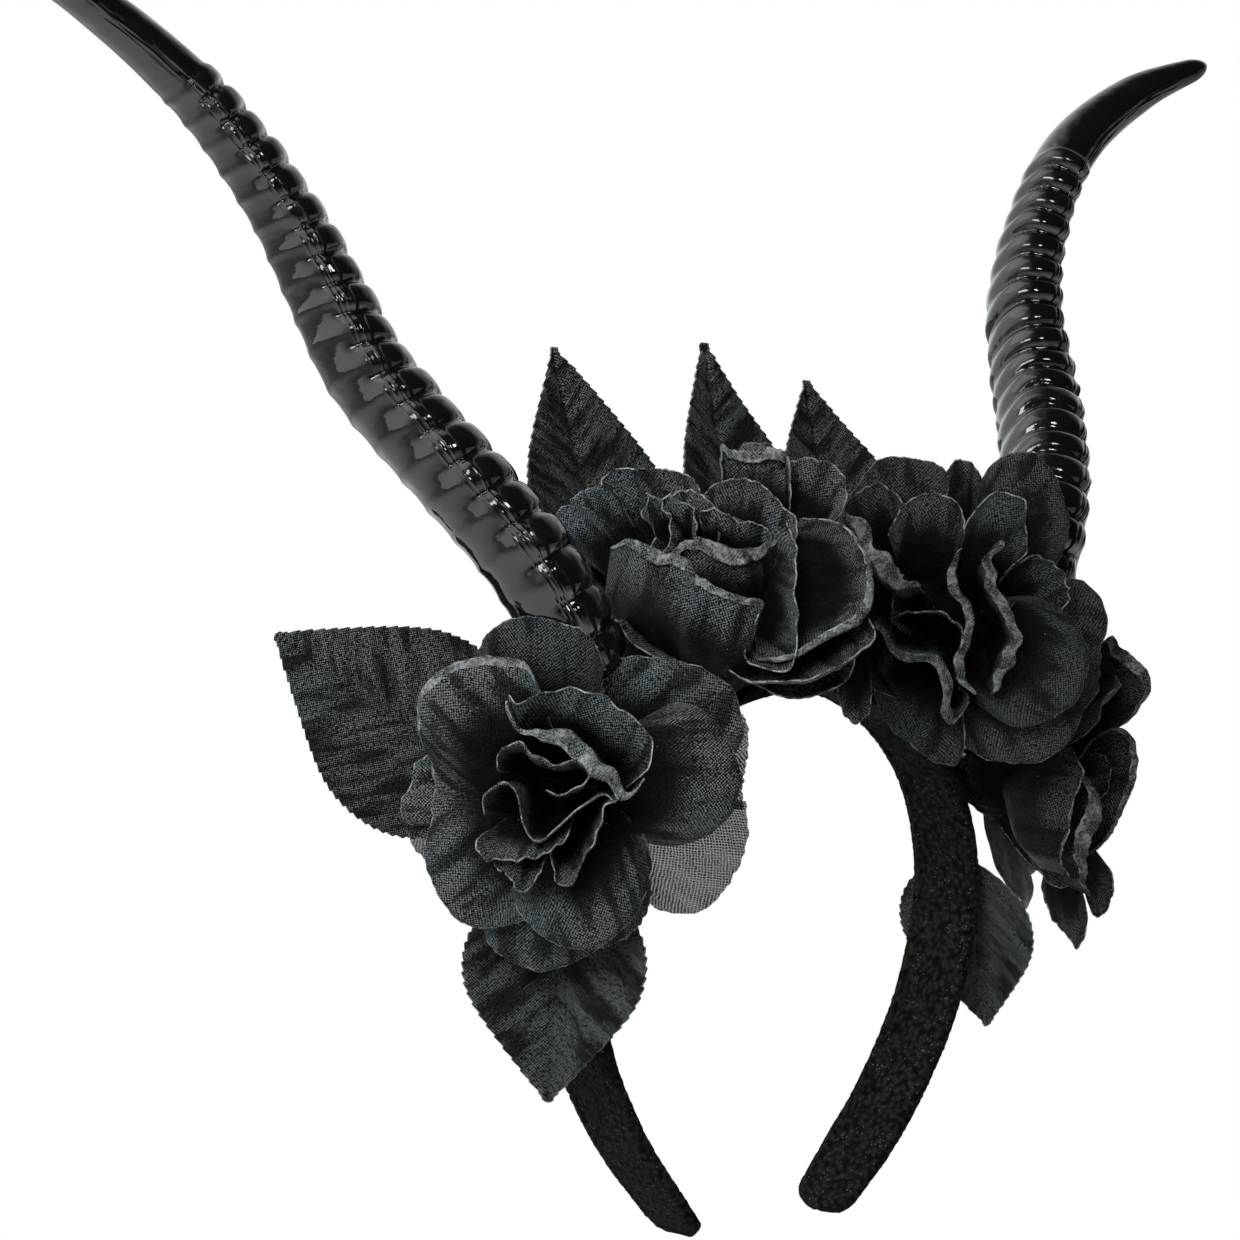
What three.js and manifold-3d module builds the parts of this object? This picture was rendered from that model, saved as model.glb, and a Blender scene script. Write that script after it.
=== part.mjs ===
// Horned tiara: a felt-covered headband with two ringed horns, four cloth roses and six cloth leaves.
// Millimetres, +Z up. X runs across the head, -Y is the front, and the band's two ends stand on Z = 0.
import * as THREE from "three";
import { mergeVertices } from "three/addons/utils/BufferGeometryUtils.js";
import Module from "manifold-3d";

const wasm = await Module();
wasm.setup();
const rad = THREE.MathUtils.degToRad;
const mix = THREE.MathUtils.lerp;

// Driving sizes
const GAP = 0.4; // clearance between neighbouring pieces
const CLOTH = 1.0; // wall of a petal or leaf

// Headband: half of its middle line, from the crown down to one end
const BAND_LINE = [
  { out: 0, up: 156 },
  { out: 36, up: 147.5 },
  { out: 61, up: 126 },
  { out: 71.5, up: 96 },
  { out: 67, up: 62 },
  { out: 52, up: 32 },
  { out: 22, up: -4 },
];
const BAND_WIDTH = 25;
const BAND_THICK = 4.6;
const BAND_LEAN = 3.7; // degrees the arch leans to the front
const BAND_FORWARD = 0.9; // how far its ends stand forward of the middle
const BAND_STEPS = 30;
const BAND_SIDES = 8;
const BAND_END_TAPER = 0.6; // width left at the rounded ends
const BAND_END_STEPS = 2; // steps over which an end narrows
const BAND_CORNER = 0.45; // 1 is an oval section, 0 a box
const FLOOR = { span: 200, deep: 40 }; // block that trims the ends level

// Horns: middle line of the pair, base to tip; skew raises the left horn and lowers the right one
const HORN_LINE = [
  { out: 59, back: -12, up: 137, skew: 0, across: 25.5 },
  { out: 73, back: -19, up: 157, skew: -1.5, across: 26 },
  { out: 87.8, back: -22.5, up: 180, skew: -1.8, across: 26 },
  { out: 97.6, back: -19.5, up: 196, skew: -2.4, across: 25.2 },
  { out: 111.7, back: -6.5, up: 217, skew: -1.2, across: 24.8 },
  { out: 126, back: 12, up: 241, skew: 1.3, across: 24.2 },
  { out: 132.8, back: 22.5, up: 263, skew: 2, across: 22 },
  { out: 141.8, back: 28.5, up: 283, skew: 2.4, across: 19 },
  { out: 162.8, back: 34, up: 311.5, skew: 1.4, across: 16 },
  { out: 196, back: 37, up: 334, skew: 3.6, across: 12.2 },
  { out: 227, back: 33, up: 347, skew: 3.6, across: 4 },
];
const HORN_RINGS = 22;
const HORN_RINGED = 0.75; // share of the length that carries rings
const HORN_CROWDING = 0.12; // rings crowd together towards the tip
const HORN_SWELL = 1.9; // height of a ring on the front of the horn
const HORN_GROOVE = 0.6; // share of that height cut below the plain horn
const HORN_BACK = 0.12; // share of the ring height left on the back
const HORN_FADE = 5; // how quickly the rings die out at the last of them
const HORN_LAST = 0.35; // share of the ring height left there
const HORN_TIP_STEPS = 5;
const HORN_OVAL = 0.06;
const HORN_OVAL_TURN = 50; // degrees from the front to the wide axis
const HORN_SIDES = 8;
const HORN_WALL = 2;
const HORN_HOLLOW = 0.7; // share of the length that is hollow
const HORN_HOLLOW_STEPS = 9;
const HORN_HOLLOW_SIDES = 7;
const HORN_MOUTH = { out: 14, back: 8, up: 20 }; // how far the hollow runs on past the foot
const HORN_FOOT = 0.6; // share of the length that the calyxes are kept off
const HORN_FOOT_STEPS = 12;

// Roses
const PETAL_ROOT = 3.5; // radius where a petal starts, inside its hub
const PETAL_NECK = 0.2; // width of a petal at its root, as a share of its full width
const PETAL_ROUND = 0.26; // how far the corners of the rim draw back
const PETAL_OPEN = 0.65; // share of the length at which a petal reaches its full width
const PETAL_DRAW = 0.1; // how far it narrows again beyond that
const PETAL_RUFFLE = 5; // how closely the waves of the rim follow each other
const PETAL_SLICES = 24; // slices over which the bend of a petal is added up
const PETAL_TWIST = 4.5; // one side of a petal lies over the next petal, the other under
const PETAL_ALONG = 3;
const PETAL_ACROSS = 4;
const HUB_RADIUS = 7;
const HUB_STEP = 3.2; // height from one layer of petals to the next
const PRESS_REACH = 5; // distance over which a petal is pushed off its neighbour

// Leaves
const LEAF_TEETH = 7;
const LEAF_TOOTH = 1.1;
const LEAF_STALK = 0.16; // share of the length taken by the stalk
const LEAF_STALK_WIDTH = 3;
const LEAF_BELLY = 0.8; // below 1 the widest place moves towards the stalk
const LEAF_FULL = 0.8; // below 1 the outline is fuller than a sine wave

// Finishes
const FINISHES = {
  felt: { color: 0x151515, roughness: 0.95, metalness: 0 },
  plastic: { color: 0x0b0c0b, roughness: 0.12, metalness: 0 },
  petal: { color: 0x2a2d31, roughness: 0.6, metalness: 0 },
  leaf: { color: 0x2c2c2a, roughness: 0.7, metalness: 0 },
  calyx: { color: 0x1c1d1c, roughness: 0.85, metalness: 0 },
};

// Helpers for solids
function geometryOf(points, faces) {
  const geometry = new THREE.BufferGeometry();
  geometry.setFromPoints(points);
  geometry.setIndex(faces);
  return geometry;
}

function solidOf(geometry) {
  const bare = geometry.clone();
  bare.deleteAttribute("normal");
  bare.deleteAttribute("uv");
  const merged = mergeVertices(bare, 1e-4);
  const vertProperties = Float32Array.from(merged.attributes.position.array);
  const triVerts = Uint32Array.from(merged.index.array);
  return new wasm.Manifold(new wasm.Mesh({ numProp: 3, vertProperties, triVerts }));
}

function largestBody(solid) {
  const bodies = solid.decompose();
  return bodies.reduce((best, body) => (body.volume() > best.volume() ? body : best));
}

function meshOf(name, solid, finish) {
  const { vertProperties, triVerts } = solid.getMesh();
  const geometry = new THREE.BufferGeometry();
  geometry.setAttribute("position", new THREE.BufferAttribute(vertProperties, 3));
  geometry.setIndex(new THREE.BufferAttribute(triVerts, 1));
  const mesh = new THREE.Mesh(geometry, new THREE.MeshStandardMaterial(FINISHES[finish]));
  mesh.name = name;
  return mesh;
}

// Closed skin over a row of rings that turn counter-clockwise about the direction of travel
function skin(rings) {
  const count = rings[0].length;
  const faces = [];
  for (let row = 0; row + 1 < rings.length; row++) {
    for (let k = 0; k < count; k++) {
      const a = row * count + k;
      const b = row * count + ((k + 1) % count);
      faces.push(a, b, b + count, a, b + count, a + count);
    }
  }
  const last = (rings.length - 1) * count;
  for (let k = 1; k + 1 < count; k++) {
    faces.push(0, k + 1, k, last, last + k, last + k + 1);
  }
  return geometryOf(rings.flat(), faces);
}

// Closed sheet of cloth around the surface point(along, across), both from 0 to 1
function sheet(point, alongSteps, acrossSteps, thick, shift) {
  const upper = [];
  const lower = [];
  const tiny = 1e-3;
  for (let i = 0; i <= alongSteps; i++) {
    for (let j = 0; j <= acrossSteps; j++) {
      const a = i / alongSteps;
      const c = j / acrossSteps;
      const da = point(Math.min(1, a + tiny), c).sub(point(Math.max(0, a - tiny), c));
      const dc = point(a, Math.min(1, c + tiny)).sub(point(a, Math.max(0, c - tiny)));
      const normal = da.cross(dc).normalize();
      upper.push(shift(point(a, c).addScaledVector(normal, thick / 2)));
      lower.push(shift(point(a, c).addScaledVector(normal, -thick / 2)));
    }
  }
  const wide = acrossSteps + 1;
  const under = upper.length;
  const faces = [];
  const quad = (a, b, c, d) => faces.push(a, b, c, a, c, d);
  for (let i = 0; i < alongSteps; i++) {
    for (let j = 0; j < acrossSteps; j++) {
      const k = i * wide + j;
      quad(k, k + wide, k + wide + 1, k + 1);
      quad(under + k, under + k + 1, under + k + wide + 1, under + k + wide);
    }
  }
  for (let i = 0; i < alongSteps; i++) {
    const near = i * wide;
    const far = near + acrossSteps;
    quad(near, under + near, under + near + wide, near + wide);
    quad(far, far + wide, under + far + wide, under + far);
  }
  const end = alongSteps * wide;
  for (let j = 0; j < acrossSteps; j++) {
    quad(j, j + 1, under + j + 1, under + j);
    quad(end + j, under + end + j, under + end + j + 1, end + j + 1);
  }
  return geometryOf([...upper, ...lower], faces);
}

// Headband
function bandSolid(grow) {
  const half = BAND_LINE.map((row) => new THREE.Vector3(row.out, 0, row.up));
  const mirrored = half.slice(1).reverse().map((p) => new THREE.Vector3(-p.x, 0, p.z));
  const line = new THREE.CatmullRomCurve3([...mirrored, ...half], false, "centripetal");
  const wide = new THREE.Vector3(0, 1, 0);
  const rings = [];
  for (let i = 0; i <= BAND_STEPS; i++) {
    const u = i / BAND_STEPS;
    const middle = line.getPointAt(u);
    const inward = wide.clone().cross(line.getTangentAt(u));
    const toEnd = Math.min(u, 1 - u) * BAND_STEPS;
    const taper = mix(BAND_END_TAPER, 1, Math.min(1, toEnd / BAND_END_STEPS));
    const ring = [];
    for (let k = 0; k < BAND_SIDES; k++) {
      const turn = ((k + 0.5) / BAND_SIDES) * 2 * Math.PI;
      const squared = (value) => Math.sign(value) * Math.pow(Math.abs(value), BAND_CORNER);
      const thick = (BAND_THICK / 2 + grow) * squared(Math.cos(turn));
      const across = ((BAND_WIDTH * taper) / 2 + grow) * squared(Math.sin(turn));
      ring.push(middle.clone().addScaledVector(inward, thick).addScaledVector(wide, across));
    }
    rings.push(ring);
  }
  const leaning = skin(rings).rotateX(rad(BAND_LEAN)).translate(0, -BAND_FORWARD, 0);
  const floor = new THREE.BoxGeometry(FLOOR.span, FLOOR.span, FLOOR.deep);
  floor.translate(0, 0, -FLOOR.deep / 2 - grow);
  return solidOf(leaning).subtract(solidOf(floor));
}

// Horns
function hornLine(side) {
  const points = HORN_LINE.map((row) => {
    const up = row.up - side * row.skew;
    return new THREE.Vector3(side * row.out, row.back, up);
  });
  return new THREE.CatmullRomCurve3(points, false, "centripetal");
}

function hornAcross(t) {
  const at = t * (HORN_LINE.length - 1);
  const low = Math.min(Math.floor(at), HORN_LINE.length - 2);
  return mix(HORN_LINE[low].across, HORN_LINE[low + 1].across, at - low);
}

function hornRing(line, u, side, sides, radiusAt) {
  const t = line.getUtoTmapping(u);
  const tangent = line.getTangent(t);
  const front = new THREE.Vector3(0, -1, 0);
  front.addScaledVector(tangent, -front.dot(tangent)).normalize();
  const sideways = tangent.clone().cross(front);
  const ring = [];
  for (let k = 0; k < sides; k++) {
    const turn = (k / sides) * 2 * Math.PI;
    const oval = 1 + HORN_OVAL * Math.cos(2 * (turn - side * rad(HORN_OVAL_TURN)));
    const radius = radiusAt(hornAcross(t) / 2, turn) * oval;
    const spoke = front.clone().multiplyScalar(Math.cos(turn)).addScaledVector(sideways, Math.sin(turn));
    ring.push(line.getPoint(t).addScaledVector(spoke, radius));
  }
  return ring;
}

function hornKeepOut(side) {
  const line = hornLine(side);
  const rings = [];
  for (let k = 0; k <= HORN_FOOT_STEPS; k++) {
    const u = (HORN_FOOT * k) / HORN_FOOT_STEPS;
    rings.push(hornRing(line, u, side, HORN_SIDES, (radius) => radius + HORN_SWELL + GAP));
  }
  return solidOf(skin(rings));
}

function hornSolid(side, bandKeepOut) {
  const line = hornLine(side);
  const rings = [];
  for (let k = 0; k < HORN_RINGS * 2; k++) {
    const phase = k / 2;
    const q = phase / HORN_RINGS;
    const u = HORN_RINGED * q * (1 + HORN_CROWDING * (1 - q));
    const lobe = 1 - Math.pow(2 * (phase % 1) - 1, 2);
    const swell = HORN_SWELL * Math.min(1, (1 - q) * HORN_FADE + HORN_LAST);
    rings.push(
      hornRing(line, u, side, HORN_SIDES, (radius, turn) => {
        const frontness = mix(HORN_BACK, 1, (1 + Math.cos(turn)) / 2);
        return radius + swell * frontness * (lobe - HORN_GROOVE);
      }),
    );
  }
  for (let k = 0; k <= HORN_TIP_STEPS; k++) {
    const u = mix(HORN_RINGED, 1, k / HORN_TIP_STEPS);
    rings.push(hornRing(line, u, side, HORN_SIDES, (radius) => radius));
  }
  const core = [];
  for (let k = 0; k <= HORN_HOLLOW_STEPS; k++) {
    const u = (HORN_HOLLOW * k) / HORN_HOLLOW_STEPS;
    const inner = (radius) => radius - HORN_WALL - HORN_GROOVE * HORN_SWELL;
    core.push(hornRing(line, u, side, HORN_HOLLOW_SIDES, inner));
  }
  const mouth = new THREE.Vector3(side * HORN_MOUTH.out, HORN_MOUTH.back, HORN_MOUTH.up);
  const open = core[0].map((p) => p.clone().sub(mouth));
  const hollow = solidOf(skin(rings)).subtract(solidOf(skin([open, ...core])));
  return largestBody(hollow.subtract(bandKeepOut));
}

// Roses: where each hub sits, where it faces and the petals of its two layers.
// turn runs counter-clockwise seen from the front of the rose, lift is the slope at the root,
// rise and curl bend the petal up and roll its rim back, cup lifts its sides, wave ruffles its rim.
// tall is the height of the folded heart above the hub.
const ROSES = [
  {
    name: "rose_a",
    hub: [-83, -21, 128],
    foot: [-65, -8, 123],
    faces: [-0.64, -0.76, 0.06],
    tall: 28,
    outer: [
      { turn: 30, length: 50, width: 42, lift: 10, rise: 18, curl: 20, cup: 3, wave: 1 },
      { turn: 97, length: 54, width: 42, lift: 22, rise: 14, curl: 14, cup: 4, wave: 1 },
      { turn: 152, length: 46, width: 38, lift: 12, rise: 16, curl: 24, cup: 3, wave: 1 },
      { turn: 198, length: 41, width: 34, lift: 12, rise: 10, curl: 10, cup: 3, wave: 1 },
      { turn: 266, length: 47, width: 46, lift: 8, rise: 12, curl: 14, cup: 3, wave: 1 },
      { turn: 328, length: 48, width: 36, lift: 8, rise: 10, curl: 16, cup: 3, wave: 1 },
    ],
    middle: [
      { turn: 6, length: 50, width: 44, lift: 28, rise: 14, curl: 30, cup: 4, wave: 1 },
      { turn: 75, length: 44, width: 40, lift: 37, rise: 12, curl: 20, cup: 4, wave: 1 },
      { turn: 150, length: 46, width: 42, lift: 35, rise: 14, curl: 26, cup: 5, wave: 1 },
      { turn: 230, length: 47, width: 42, lift: 28, rise: 12, curl: 22, cup: 5, wave: 1 },
      { turn: 286, length: 44, width: 44, lift: 28, rise: 16, curl: 26, cup: 5, wave: 1 },
    ],
    folds: [
      [
        { x: -15, y: 28 }, { x: -10, y: 24 }, { x: 1, y: 26 },
        { x: 13, y: 26 }, { x: 21, y: 16 }, { x: 19, y: 3 },
      ],
      [
        { x: -13, y: 20 }, { x: -2, y: 20 },
        { x: 8, y: 14 }, { x: 17, y: 7 },
      ],
      [
        { x: 1, y: 11 }, { x: -10, y: 11 }, { x: -18, y: 13 },
        { x: -17, y: 6 }, { x: -6, y: 5 }, { x: 6, y: 5 },
      ],
      [
        { x: -21, y: -3 }, { x: -14, y: 3 }, { x: -9, y: -8 },
        { x: -2, y: -6 }, { x: 8, y: 0 },
      ],
      [
        { x: -22, y: -12 }, { x: -15, y: -17 }, { x: -6, y: -15 },
        { x: -2, y: -22 }, { x: 5, y: -14 }, { x: 11, y: -5 },
      ],
    ],
    presses: [
      { at: [-84.5, -26, 149], towards: [-0.48, -0.57, -0.66] },
      { at: [-46, -25, 154], towards: [-0.72, -0.1, -0.68] },
    ],
  },
  {
    name: "rose_b",
    hub: [-27, -14, 161],
    foot: [-24, -12, 148],
    faces: [-0.28, -0.28, 0.92],
    tall: 38,
    outer: [
      { turn: 240, length: 50, width: 52, lift: 8, rise: 76, curl: 24, cup: 4, wave: 1 },
      { turn: 312, length: 46, width: 46, lift: 8, rise: 30, curl: 26, cup: 5, wave: 1.5 },
      { turn: 12, length: 48, width: 42, lift: 22, rise: 34, curl: 20, cup: 4, wave: 1.5 },
      { turn: 75, length: 48, width: 42, lift: 24, rise: 30, curl: 24, cup: 4, wave: 1.5 },
      { turn: 132, length: 48, width: 42, lift: 24, rise: 30, curl: 30, cup: 4, wave: 1.5 },
      { turn: 185, length: 46, width: 42, lift: 24, rise: 36, curl: 26, cup: 4, wave: 1 },
    ],
    middle: [
      { turn: 288, length: 48, width: 44, lift: 54, rise: 28, curl: 44, cup: 2, wave: 1 },
      { turn: 0, length: 47, width: 40, lift: 54, rise: 20, curl: 24, cup: 2, wave: 1 },
      { turn: 70, length: 47, width: 40, lift: 54, rise: 20, curl: 20, cup: 2, wave: 1 },
      { turn: 140, length: 47, width: 40, lift: 54, rise: 20, curl: 20, cup: 2, wave: 1 },
      { turn: 215, length: 46, width: 42, lift: 56, rise: 26, curl: 20, cup: 2, wave: 1 },
    ],
    folds: [
      [
        { x: -7, y: 1 }, { x: -4, y: 7 }, { x: 3, y: 8 },
        { x: 7, y: 4 }, { x: 6, y: -4 }, { x: 1, y: -6 },
      ],
      [
        { x: -3, y: -4 }, { x: -4, y: 3 },
        { x: 1, y: 5 }, { x: 4, y: -1 },
      ],
    ],
    presses: [
      { at: [-46, -25, 154], towards: [0.72, 0.1, 0.68] },
      { at: [18, -24, 163], towards: [-0.766, 0.643, 0] },
      { at: [-74, -20, 170], towards: [0.93, 0, -0.37], off: 14 },
      { at: [-16, 6, 180], towards: [0, -0.97, 0.25] },
    ],
  },
  {
    name: "rose_c",
    hub: [50, -27, 164],
    foot: [46, -13, 139],
    faces: [-0.37, -0.88, 0.3],
    tall: 30,
    outer: [
      { turn: 48, length: 52, width: 44, lift: 12, rise: 20, curl: 14, cup: 5, wave: 1.5 },
      { turn: 108, length: 53, width: 40, lift: 12, rise: 16, curl: 22, cup: 4, wave: 1.5 },
      { turn: 172, length: 41, width: 40, lift: 14, rise: 24, curl: 34, cup: 3, wave: 1.5 },
      { turn: 240, length: 41, width: 38, lift: 12, rise: 12, curl: 10, cup: 4, wave: 1.5 },
      { turn: 300, length: 50, width: 48, lift: 8, rise: 22, curl: 20, cup: 6, wave: 1.5 },
      { turn: 350, length: 43, width: 42, lift: 12, rise: 22, curl: 16, cup: 5, wave: 1.5 },
    ],
    middle: [
      { turn: 22, length: 43, width: 42, lift: 32, rise: 16, curl: 20, cup: 6, wave: 1.5 },
      { turn: 90, length: 49, width: 42, lift: 34, rise: 18, curl: 20, cup: 6, wave: 1.5 },
      { turn: 160, length: 41, width: 40, lift: 38, rise: 18, curl: 30, cup: 5, wave: 1.5 },
      { turn: 225, length: 44, width: 40, lift: 28, rise: 14, curl: 24, cup: 6, wave: 1.5 },
      { turn: 305, length: 47, width: 46, lift: 30, rise: 20, curl: 20, cup: 6, wave: 1.5 },
    ],
    folds: [
      [
        { x: -6, y: 22 }, { x: -3, y: 12 }, { x: 4, y: 2 },
        { x: 2, y: -8 }, { x: 5, y: -18 },
      ],
      [
        { x: 6, y: 18 }, { x: 9, y: 8 }, { x: 13, y: -2 },
        { x: 8, y: -14 }, { x: 9, y: -22 },
      ],
      [
        { x: -18, y: -4 }, { x: -12, y: -10 },
        { x: -5, y: -12 }, { x: -4, y: -20 },
      ],
      [
        { x: -16, y: 12 }, { x: -10, y: 6 },
        { x: -8, y: -4 }, { x: 0, y: -5 },
      ],
    ],
    presses: [
      { at: [18, -24, 163], towards: [0.766, -0.643, 0] },
      { at: [63.5, -30.2, 157], towards: [-0.75, -0.66, 0] },
      { at: [66, -18, 142], towards: [-0.55, -0.22, 0.8] },
    ],
  },
  {
    name: "rose_d",
    hub: [80, -13, 125],
    foot: [65, -8, 123],
    faces: [0.72, -0.68, -0.1],
    tall: 38,
    outer: [
      { turn: 62, length: 52, width: 44, lift: 24, rise: 26, curl: 20, cup: 5, wave: 1.5 },
      { turn: 122, length: 50, width: 44, lift: 24, rise: 30, curl: 20, cup: 5, wave: 1.5 },
      { turn: 182, length: 50, width: 46, lift: 20, rise: 40, curl: 20, cup: 5, wave: 1.5 },
      { turn: 240, length: 52, width: 44, lift: 20, rise: 26, curl: 20, cup: 4, wave: 1.5 },
      { turn: 312, length: 48, width: 44, lift: 22, rise: 26, curl: 20, cup: 4, wave: 1.5 },
    ],
    middle: [
      { turn: 25, length: 48, width: 42, lift: 52, rise: 18, curl: 26, cup: 4, wave: 1.5 },
      { turn: 95, length: 50, width: 42, lift: 50, rise: 18, curl: 30, cup: 4, wave: 1.5 },
      { turn: 165, length: 48, width: 42, lift: 54, rise: 18, curl: 26, cup: 4, wave: 1.5 },
      { turn: 235, length: 49, width: 42, lift: 50, rise: 18, curl: 30, cup: 4, wave: 1.5 },
      { turn: 300, length: 48, width: 42, lift: 50, rise: 18, curl: 28, cup: 4, wave: 1.5 },
    ],
    folds: [
      [
        { x: -7, y: 9 }, { x: 2, y: 8 }, { x: 8, y: 3 },
        { x: 5, y: -6 }, { x: -4, y: -9 },
      ],
      [
        { x: -9, y: 3 }, { x: -3, y: 2 },
        { x: -2, y: -5 }, { x: 4, y: -8 },
      ],
    ],
    presses: [
      { at: [84.5, -26, 149], towards: [0.48, -0.57, -0.66] },
      { at: [66, -18, 142], towards: [0.55, 0.22, -0.8] },
      { at: [85, -12, 95], towards: [0.8, -0.5, 0.3] },
    ],
  },
];
const HEART_SLOPE = 1.1; // slope of the funnel the folds stand on
const HEART_FLOOR = 6; // height of the funnel's lip at the middle
const HEART_RADIUS = 11;
const HEART_STEM = 4; // radius of the funnel's foot
const HEART_LIP = { wide: 1.4, tall: 0.8, wall: 2.4 };
const HEART_DRAW = 0.38; // how far a fold draws in towards the middle at its foot
const CALYX_FOOT = 4.5; // radius of the calyx where it meets the band

// Leaves: base on the band or behind a rose, tip, the way the upper face looks, and the full width
const LEAVES = [
  {
    name: "leaf_left",
    base: [-69, 1, 116],
    tip: [-130.5, 47.5, 170.5],
    faces: [-0.55, -0.8, 0.2],
    width: 58,
    fold: 4,
    bow: 4,
  },
  {
    name: "leaf_below",
    base: [-70.5, -7.5, 116],
    tip: [-85, -14, 45],
    faces: [-0.75, -0.66, 0.1],
    width: 51,
    fold: 4,
    bow: 5,
  },
  {
    name: "leaf_top_left",
    base: [-34, -1, 149],
    tip: [-50, 27, 249],
    faces: [0, -1, 0.25],
    width: 45,
    fold: 4,
    bow: -4,
  },
  {
    name: "leaf_top_middle",
    base: [11, -1, 155],
    tip: [7.5, 28, 251],
    faces: [0, -1, 0.25],
    width: 42,
    fold: 4,
    bow: -4,
  },
  {
    name: "leaf_top_right",
    base: [55, -1, 136],
    tip: [45, 26, 240],
    faces: [0, -1, 0.25],
    width: 47,
    fold: 4,
    bow: -4,
  },
  {
    name: "leaf_right",
    base: [70, -8.5, 110],
    tip: [88, -7.5, 49],
    faces: [0.95, 0.1, 0.1],
    width: 50,
    fold: -3,
    bow: 3,
  },
];

function basis(origin, faces, upward) {
  const z = new THREE.Vector3(...faces).normalize();
  const y = upward.clone().addScaledVector(z, -upward.dot(z)).normalize();
  const x = y.clone().cross(z);
  return new THREE.Matrix4().makeBasis(x, y, z).setPosition(new THREE.Vector3(...origin));
}

// Pushes a point off the neighbours of its rose, so that crowded petals fold up against each other
function presser(presses, toLocal) {
  const planes = presses.map((press) => {
    const normal = new THREE.Vector3(...press.towards).normalize();
    const at = new THREE.Vector3(...press.at).addScaledVector(normal, press.off ?? 0);
    return new THREE.Plane().setFromNormalAndCoplanarPoint(normal, at).applyMatrix4(toLocal);
  });
  return (point) => {
    for (const plane of planes) {
      const depth = plane.distanceToPoint(point) - GAP;
      if (depth < PRESS_REACH) {
        const pushed = PRESS_REACH * Math.exp((depth - PRESS_REACH) / PRESS_REACH);
        point.addScaledVector(plane.normal, pushed - depth);
      }
    }
    return point;
  };
}

function petalPoint(row, level) {
  const slope = (u) => rad(row.lift + row.rise * u - row.curl * u * u * u);
  return (along, across) => {
    const v = 2 * across - 1;
    const length = row.length * (1 - PETAL_ROUND * Math.abs(v * v * v));
    let out = PETAL_ROOT;
    let up = level;
    for (let k = 0; k < PETAL_SLICES; k++) {
      const angle = slope(((k + 0.5) / PETAL_SLICES) * along);
      out += (Math.cos(angle) * length * along) / PETAL_SLICES;
      up += (Math.sin(angle) * length * along) / PETAL_SLICES;
    }
    const open = Math.sin((Math.PI / 2) * Math.min(1, along / PETAL_OPEN));
    const drawn = 1 - PETAL_DRAW * Math.max(0, along - PETAL_OPEN);
    const half = (row.width / 2) * mix(PETAL_NECK, 1, open) * drawn;
    const cupped = (row.cup * v * v + PETAL_TWIST * v) * along;
    const lifted = cupped + row.wave * Math.sin(PETAL_RUFFLE * v + row.turn) * along * along;
    const angle = slope(along);
    out -= Math.sin(angle) * lifted;
    up += Math.cos(angle) * lifted;
    const side = v * half;
    const turn = rad(row.turn);
    const x = out * Math.cos(turn) - side * Math.sin(turn);
    const y = out * Math.sin(turn) + side * Math.cos(turn);
    return new THREE.Vector3(x, y, up);
  };
}

function petalLayer(rows, level, shift) {
  const tall = HUB_STEP - GAP;
  const hub = new THREE.CylinderGeometry(HUB_RADIUS, HUB_RADIUS, tall, 8).rotateX(Math.PI / 2);
  let layer = solidOf(hub.translate(0, 0, level + (tall - CLOTH) / 2));
  for (const row of rows) {
    layer = layer.add(solidOf(sheet(petalPoint(row, level), PETAL_ALONG, PETAL_ACROSS, CLOTH, shift)));
  }
  return layer;
}

// Heart: folds that stand on a funnel, each a wall along its own short line
function heartSolid(rose, level, shift) {
  const lip = HEART_FLOOR + HEART_SLOPE * HEART_RADIUS;
  const profile = [
    new THREE.Vector2(0, level),
    new THREE.Vector2(HEART_STEM, level),
    new THREE.Vector2(HEART_RADIUS, lip),
    new THREE.Vector2(HEART_RADIUS - HEART_LIP.wide, lip + HEART_LIP.tall),
    new THREE.Vector2(0, level + HEART_LIP.wall),
  ];
  let heart = solidOf(new THREE.LatheGeometry(profile, 8).rotateX(Math.PI / 2));
  for (const fold of rose.folds) {
    const line = new THREE.CatmullRomCurve3(fold.map(({ x, y }) => new THREE.Vector3(x, y, 0)));
    const wall = (along, across) => {
      const p = line.getPoint(along);
      const foot = HEART_FLOOR + HEART_SLOPE * p.length() * HEART_DRAW;
      const draw = mix(HEART_DRAW, 1, across);
      return new THREE.Vector3(p.x * draw, p.y * draw, mix(foot, rose.tall, across));
    };
    heart = heart.add(solidOf(sheet(wall, fold.length + 1, 1, CLOTH, shift)));
  }
  return largestBody(heart);
}

// Calyx: a plain tapered plug from the hub down to the rose's foot on the band
function calyxSolid(rose, place, keepOuts) {
  const spokes = 8;
  const hubRing = [];
  const footRing = [];
  for (let k = 0; k < spokes; k++) {
    const turn = (k / spokes) * 2 * Math.PI;
    const spoke = new THREE.Vector3(Math.cos(turn), Math.sin(turn), 0);
    const rim = spoke.clone().multiplyScalar(HUB_RADIUS);
    rim.z = -CLOTH / 2 - GAP;
    hubRing.push(rim.applyMatrix4(place));
    const base = spoke.multiplyScalar(CALYX_FOOT).transformDirection(place).multiplyScalar(CALYX_FOOT);
    footRing.push(base.add(new THREE.Vector3(...rose.foot)));
  }
  let solid = solidOf(skin([footRing, hubRing]));
  for (const other of keepOuts) {
    solid = solid.subtract(other);
  }
  return largestBody(solid);
}

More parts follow.
